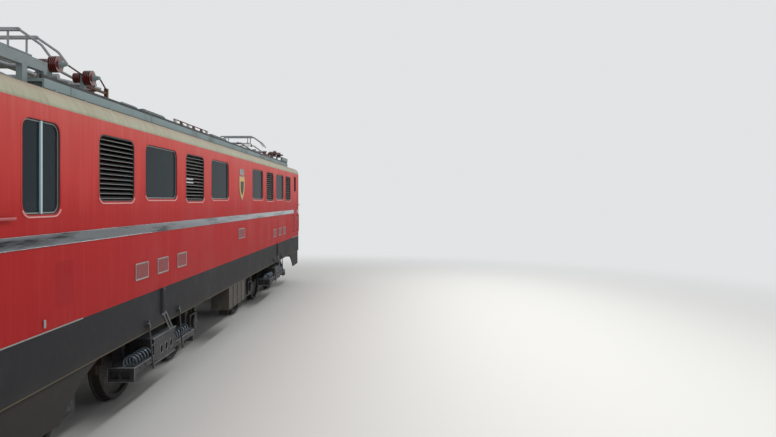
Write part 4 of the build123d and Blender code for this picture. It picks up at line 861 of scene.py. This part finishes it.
# way along X, how far the arm reaches, ribs on it
for way, reach, count in ((-1, 1.28, 16), (1, 1.05, 11)):
    gear_springs.append(coil((way * 0.425, spring_y, spring_z),
                             (way * (reach - 0.075), spring_y, spring_z), spring_radius,
                             spring_wire, round((reach - 0.5) / spring_pitch), 16, 8))
    low_x, high_x = sorted((way * (reach - 0.058), way * (reach - 0.002)))
    edges.append(rounded_box((low_x, 1.124, 0.699), (high_x, 1.446, 0.703), 0.0015, 1))
    rib_x = way * (0.450 + rib_pitch * np.arange(count) + 0.035 * math.sin(rib_lean))
    rib = rounded_box((-0.0045, 1.132, -0.0045), (0.0045, 1.424, 0.0045), 0.002, 1)
    edges.append(copies(rib, path_of(rib_x, 0.0, 0.670 + 0.035 * math.cos(rib_lean))))
    box_x = way * reach
    box_corners = [(box_x, y, z) for y, z in ((1.122, 0.532), (1.448, 0.532), (1.448, 0.698),
                                              (1.122, 0.698))]
    edges.append(bead_loop(np.array(box_corners), 0.0032, (1.0, 0.0, 0.0)))
    edges.append(rod((way * 0.41, gear_y, flange_z), (box_x, gear_y, flange_z), 0.0035, 6))
    gear_bolts += [bolt(0.013, 0.010, (way * x, gear_y, 0.660), 1) for x in (0.52, 0.70, 0.88)]
oval_radius = 0.046
oval_straight = 0.014
turn = np.linspace(0, 2 * math.pi, 24, endpoint=False)
oval_z = 0.725 + oval_straight * np.sign(np.round(np.sin(turn), 6)) + oval_radius * np.sin(turn)
for oval in (-1, 0, 1):
    ring = path_of(-0.050 + 0.185 * oval + oval_radius * np.cos(turn), gear_y, oval_z)
    edges.append(tube(ring, 0.003, 6, ring=True, flat=(0.0, 1.0, 0.0)))
edges.append(rod((-0.44, gear_y, shelf_z), (0.44, gear_y, shelf_z), 0.0045, 6))
edges.append(rounded_box((-0.436, 1.135, shelf_z), (0.436, 1.447, shelf_z + 0.0035), 0.0015, 1))
edges.append(rod((-0.41, gear_y, 0.582), (0.41, gear_y, 0.582), 0.0035, 6))
gear_bolts += [bolt(0.012, 0.010, (x, gear_y, z), 1) for x in (-0.37, 0.37) for z in (0.62, 0.84)]
for end, name in ends:
    for label, shapes, finish in (("gear_edge_highlights_", edges, rubbed_steel_and_highlight),
                                  ("gear_bolts_", gear_bolts, None),
                                  ("gear_springs_", gear_springs, spring_steel)):
        piece(label + name, [about(shape, end * bogie_centre) for shape in both_flanks(shapes)],
              "gear_paint", finish, "bogie_" + name)

# %% [markdown]
# The flat links on the skirt and the poles beside them are bare steel where they are handled. The
# links get a bright bead along both edges, and each pole a collar below its knob.

# %% Link edges and pole collars
collar = [(-0.03, 0.0), (-0.03, 0.0135), (-0.022, 0.0155), (-0.016, 0.0135), (-0.016, 0.0)]
link_edges = [rod((x, 1.4955, 1.230), (x - 0.290, 1.4955, 0.935), 0.0028, 6, (0.0, 1.0, 0.0))
              for start in (0.210, 0.110) for x in (start - 0.016, start + 0.016)]
link_edges += [turned(collar, (x - 0.002, 1.515, 1.210), 2, 16) for x in (-0.370, 0.770)]
piece("link_edges", [about(shape, end * bogie_centre) for end in (-1, 1)
                     for shape in both_flanks(link_edges)], "fitting_paint", rubbed_steel_and_highlight)

# %% [markdown]
# Every axle box ends in a round cover with a raised rim, six bolts and a small cap for the oil.
# Beside the wheels hang the sand pipes, thin tubes that point at the tread.

# %% Axle covers and sand pipes
axle_pitch = 2.15
cover_y, cover_z = 1.205, 0.66
cover = [(-0.004, 0.0), (-0.004, 0.112), (0.006, 0.112), (0.009, 0.108), (0.009, 0.098),
         (0.004, 0.094), (0.004, 0.05), (0.011, 0.046), (0.014, 0.040), (0.014, 0.0)]
bolt_circle = 0.074
for end, name in ends:
    covers, pipes = [], []
    for x in (-axle_pitch, 0.0, axle_pitch):
        axle_x = end * bogie_centre + x
        covers.append(turned(cover, (axle_x, cover_y, cover_z), 1, 32))
        covers += [bolt(0.010, 0.010, (axle_x + bolt_circle * math.cos(a), cover_y + 0.003,
                                       cover_z + bolt_circle * math.sin(a)), 1)
                   for a in np.arange(6) * math.pi / 3]
    for way in (-1, 1):
        foot_x = end * bogie_centre + way * (axle_pitch + 0.78)
        drop = polyline([(foot_x + way * 0.02, 0.95, 1.08), (foot_x + way * 0.02, 0.95, 0.70),
                         (foot_x, 0.86, 0.40), (foot_x - way * 0.10, 0.80, 0.13)], 0.05)
        pipes.append(tube(drop, 0.014, 8, flat=(0.3, 0.9, 0.1)))
    for label, shapes, slot in (("axle_covers_", covers, "machine_paint"),
                                ("sand_pipes_", pipes, "fitting_paint")):
        piece(label + name, shapes + [mirrored(shape) for shape in shapes], slot,
              body="bogie_" + name)

# %% [markdown]
# The long boxes between the bogies hold the batteries. Four flush lids close each one, with upright
# ribs between them and two turn latches on every lid.

# %% Battery box lids
box_y = 1.45
box_start, box_length = -0.43, 1.37
lid_pitch = box_length / 4
latch = [(0.004, 0.0), (0.004, 0.014), (0.012, 0.012), (0.014, 0.0)]
lid_x = box_start + lid_pitch * (np.arange(4) + 0.5)
rib_x = np.clip(box_start + lid_pitch * np.arange(5), -0.422, 0.932)
lids = [flank_plate((x, box_y, 0.95), 0.318, 0.590, 0.012, 0.0, 0.006, 1) for x in lid_x]
lids += [rounded_box((x - 0.007, box_y - 0.004, 0.64), (x + 0.007, box_y + 0.016, 1.26), 0.003, 1)
         for x in rib_x]
latches = [turned(latch, (x + 0.12, box_y, z), 1, 12) for x in lid_x for z in (0.78, 1.12)]
piece("box_lids", both_flanks(lids), "box_paint")
piece("box_latches", both_flanks(latches), "fitting_paint", rubbed_steel_and_highlight)

# %% [markdown]
# Each windscreen sits in a thick rubber seal that follows the lean and the curve of the nose. The
# seal's profile is carried round a rounded rectangle in Y and Z, and X is read off the nose's own
# skin. Wipers, short grips and a blank plate use the same skin.


# %% Shapes on the nose's skin
screen_y, screen_z = 0.565, 2.955
screen_width, screen_height, screen_corner = 0.99, 0.81, 0.11


def on_nose(y, z, proud, end):
    """Points over the nose's skin: X is the skin's reach plus how far the point stands proud."""
    return path_of(end * (nose_x(y, z) + proud), y, z)


def screen_frame(end, flank, profile):
    """A profile of (outwards in the frame, proud of the skin) pairs round one windscreen."""
    line, out = round_frame(screen_width, screen_height, screen_corner, 8)
    profile = np.asarray(profile, float)
    flat = line[:, None] + out[:, None] * profile[None, :, :1]
    return grid_shape(on_nose(flank * screen_y + flat[..., 0], screen_z + flat[..., 1],
                              profile[None, :, 1], end), ring_rows=True)


def nose_plate(end, z, width, height, corner, high):
    """A plate bent over the middle of the nose's skin, raised by high."""
    line, _ = round_frame(width, height, corner)
    rings = [on_nose(line[:, 0] * s, z + line[:, 1] * s, proud, end)
             for s, proud in ((0.0, -0.004), (1.0, -0.004), (1.0, high - 0.002), (0.985, high),
                              (0.5, high), (0.0, high))]
    return grid_shape(np.stack(rings))


# %% Windscreen seals, wipers, grips and plates
screen_seal = [(-0.002, -0.017), (-0.030, -0.017), (-0.036, -0.010), (-0.026, -0.001),
               (-0.002, 0.001)]
screen_rim = [(-0.004, 0.000), (-0.012, 0.004), (0.012, 0.006), (0.018, 0.003), (0.018, -0.004),
              (-0.004, -0.004)]
wiper_hub = np.array([(-0.012, 0.0), (-0.012, 0.018), (0.028, 0.018), (0.034, 0.012), (0.034, 0.0)])
grip_z = 2.215
grip_y = np.concatenate([[0.30, 0.30, 0.305], np.linspace(0.33, 0.80, 7), [0.825, 0.83, 0.83]])
grip_proud = np.concatenate([[-0.01, 0.035, 0.045], np.full(7, 0.05), [0.045, 0.035, -0.01]])
along = np.linspace(0.0, 1.0, 9)
screen_seals, screen_rims, wipers, blades, grips, nose_plates = [], [], [], [], [], []
for end in (-1, 1):
    for flank in (-1, 1):
        screen_seals.append(screen_frame(end, flank, screen_seal))
        screen_rims.append(screen_frame(end, flank, screen_rim))
        pivot, top = np.array([flank * 0.34, 2.500]), np.array([flank * 0.53, 2.880])
        arm_y, arm_z = (pivot + (top - pivot) * along[:, None]).T
        wipers.append(tube(on_nose(arm_y, arm_z, 0.022 - 0.016 * along**2, end), 0.006, 8))
        wipers.append(turned(wiper_hub * (end, 1.0), on_nose(*pivot, 0.0, end), 0, 16))
        blade = np.array([flank * 0.085, 0.240])
        blade_y, blade_z = (top + blade * (2 * along[:, None] - 1)).T
        blades.append(tube(on_nose(blade_y, blade_z, -0.010, end), 0.0075, 6))
        grips.append(tube(on_nose(flank * grip_y, grip_z, grip_proud, end), 0.011, 10))
    nose_plates.append(nose_plate(end, 1.93, 0.52, 0.17, 0.02, 0.006))
piece("windscreen_seals", screen_seals, "dark_steel", black_rubber_and_gap_shade)
piece("windscreen_rims", screen_rims, "red_paint")
piece("wiper_arms", wipers, "dark_steel")
piece("wiper_blades", blades, "dark_steel", black_rubber_and_gap_shade)
piece("nose_grips", grips, "grip_paint")
piece("nose_plates", nose_plates, "red_paint", plate_red)

# %% [markdown]
# Headlamps are drums let into the nose. A red sleeve hides the side of each drum and a bright ring
# clamps the lens. Both are closed profiles spun round the lamp's axis.

# %% Lamp sleeves and rings
sleeves, lamp_rings = [], []
for end in (-1, 1):
    # across, height, front, back
    for y, z, front, back in ((0.95, 1.89, 8.63, 8.42), (-0.95, 1.89, 8.63, 8.42),
                              (0.0, 3.575, 8.53, 8.31)):
        sleeve = [(back, 0.1155), (back, 0.123), (front - 0.012, 0.123), (front - 0.006, 0.119),
                  (front - 0.006, 0.1155), (back, 0.1155)]
        ring = np.array([(-0.014, 0.1235), (-0.010, 0.128), (0.002, 0.127), (0.007, 0.118),
                         (0.006, 0.104), (0.0005, 0.101), (0.0005, 0.1155), (-0.014, 0.1160),
                         (-0.014, 0.1235)]) + (front, 0.0)
        sleeves.append(turned(np.array(sleeve) * (end, 1.0), (0.0, y, z), 0, 40))
        lamp_rings.append(turned(ring * (end, 1.0), (0.0, y, z), 0, 40))
piece("lamp_sleeves", sleeves, "red_paint")
piece("lamp_rings", lamp_rings, "polished_strip", dull_alloy)

# %% [markdown]
# The cab doors carry their own glass, seal, rim and handle, so these ride on the door and swing in
# with it.

# %% Door glass, seals, rims and handles
door_x, light_z = 7.34, 3.24
handle_x, handle_z = 7.655, 2.16
handle_proud, handle_reach = 0.042, 0.125
for side, name in ((1, "front"), (-1, "rear")):
    door = "door_" + name
    wall_y, out_y = side * half_width, side * (half_width + handle_proud)
    window = (-side * door_x, wall_y, light_z)
    x = -side * handle_x
    plate = flank_plate((x, wall_y, handle_z - 0.02), 0.045, 0.150, 0.020, 0.0, 0.005, side)
    lever = tube(polyline([(x, wall_y, handle_z), (x, out_y, handle_z),
                           (x + side * handle_reach, out_y, handle_z - 0.005)], 0.015), 0.008, 10)
    piece("door_glass_" + name, [flank_plate(window, 0.408, 0.498, 0.089, -0.034, -0.025, side)],
          "glass", body=door)
    piece("door_seal_" + name, [side_frame(window, 0.41, 0.50, 0.09, seal_profile, side)],
          "dark_steel", black_rubber_and_gap_shade, door)
    piece("door_rim_" + name, [side_frame(window, 0.41, 0.50, 0.09, rim_profile, side)],
          "red_paint", body=door)
    piece("door_handle_" + name, [plate, lever], "polished_strip", dull_alloy, door)

# %% [markdown]
# Each buffer's flange is bolted at its four corners to the headstock. Beside the draw hook stand
# the cocks of the two brake pipes, each with a red lever.

# %% Buffer bolts and pipe cocks
buffer_y, buffer_z = 0.875, 1.08
bolt_reach = 0.128
pipe_z = 1.02
flange = np.array([(8.605, 0.0), (8.605, 0.034), (8.625, 0.034), (8.625, 0.0)])
bolts, cocks, cock_levers = [], [], []
for end in (-1, 1):
    for flank in (-1, 1):
        bolts += [bolt(0.017, 0.015, (end * 8.633, flank * buffer_y + dy, buffer_z + dz), 0, end)
                  for dy in (-bolt_reach, bolt_reach) for dz in (-bolt_reach, bolt_reach)]
        for y in (flank * 0.33, flank * 0.47):
            elbow = polyline([(end * 8.60, y, pipe_z), (end * 8.70, y, pipe_z),
                              (end * 8.745, y, pipe_z - 0.08)], 0.03)
            cocks.append(tube(elbow, 0.019, 12, flat=(0, 1, 0)))
            cocks.append(turned(flange * (end, 1.0), (0.0, y, pipe_z), 0, 16))
            cock_levers.append(tube([(end * 8.67, y, 1.035), (end * 8.67, y, 1.06),
                                     (end * 8.67, y + flank * 0.05, 1.085)], 0.007, 8,
                                    flat=(1, 0, 0)))
piece("buffer_bolts", bolts, "worn_steel")
piece("pipe_cocks", cocks, "frame_paint")
piece("cock_levers", cock_levers, "red_paint", plate_red)

# %% [markdown]
# The pantographs are drawn up by long coil springs between their cross tubes, and thin crossed
# wires brace the lower arms, so that each pair of tubes stays square.

# %% Pantograph springs and braces
panto_x = 5.9
coil_z = 4.13
pivot_z = 4.19
slope = math.tan(math.radians(4.0))
for end, name in ends:
    middle_x = end * panto_x
    coils, rods = [], []
    for y in (-0.20, 0.20):
        for way in (-1, 1):
            coils.append(coil((middle_x + way * 0.20, y, coil_z),
                              (middle_x + way * 0.50, y, coil_z), 0.024, 0.0045, 22))
            rods.append(rod((middle_x + way * 0.17, y, coil_z),
                            (middle_x + way * 0.53, y, coil_z), 0.009))
        rods.append(rod((middle_x - 0.18, y, coil_z), (middle_x + 0.18, y, coil_z), 0.013, 10))
    piece("pantograph_springs_" + name, coils, "fitting_paint")
    piece("spring_rods_" + name, rods, "panto_paint")
    for arm, way in (("outer", end), ("inner", -end)):
        near = np.array([middle_x + way * 0.46, 0.48, pivot_z + 0.11 * slope])
        far = np.array([middle_x + way * 1.36, -0.48, pivot_z + 1.01 * slope])
        braces = []
        for flank, lift in ((-1, 0.006), (1, -0.006)):
            line = np.stack([near, (near + far) / 2 + (0.0, 0.0, lift), far])
            braces.append(tube(line * (1.0, flank, 1.0), 0.0055, 8))
        piece("arm_braces_" + arm + "_" + name, braces, "panto_paint",
              body="lower_arm_" + arm + "_" + name)

# %% [markdown]
# The roof is welded of sheets with a low seam across it at each joint. The seams follow the arc of
# the roof from one walkway to the other.

# %% Roof seams
crown = arc_through((-1.295, 3.78), (0.0, 3.865), (1.295, 3.78), 25)
crown = crown[np.abs(crown[:, 0]) < 1.0]
seams = [tube(path_of(x, crown[:, 0], crown[:, 1]), 0.006, 6, flat=(1.0, 0.0, 0.0))
         for x in (-7.9, -4.75, -2.5, 1.35, 2.6, 4.75, 7.9)]
piece("roof_seams", seams, "roof_paint")
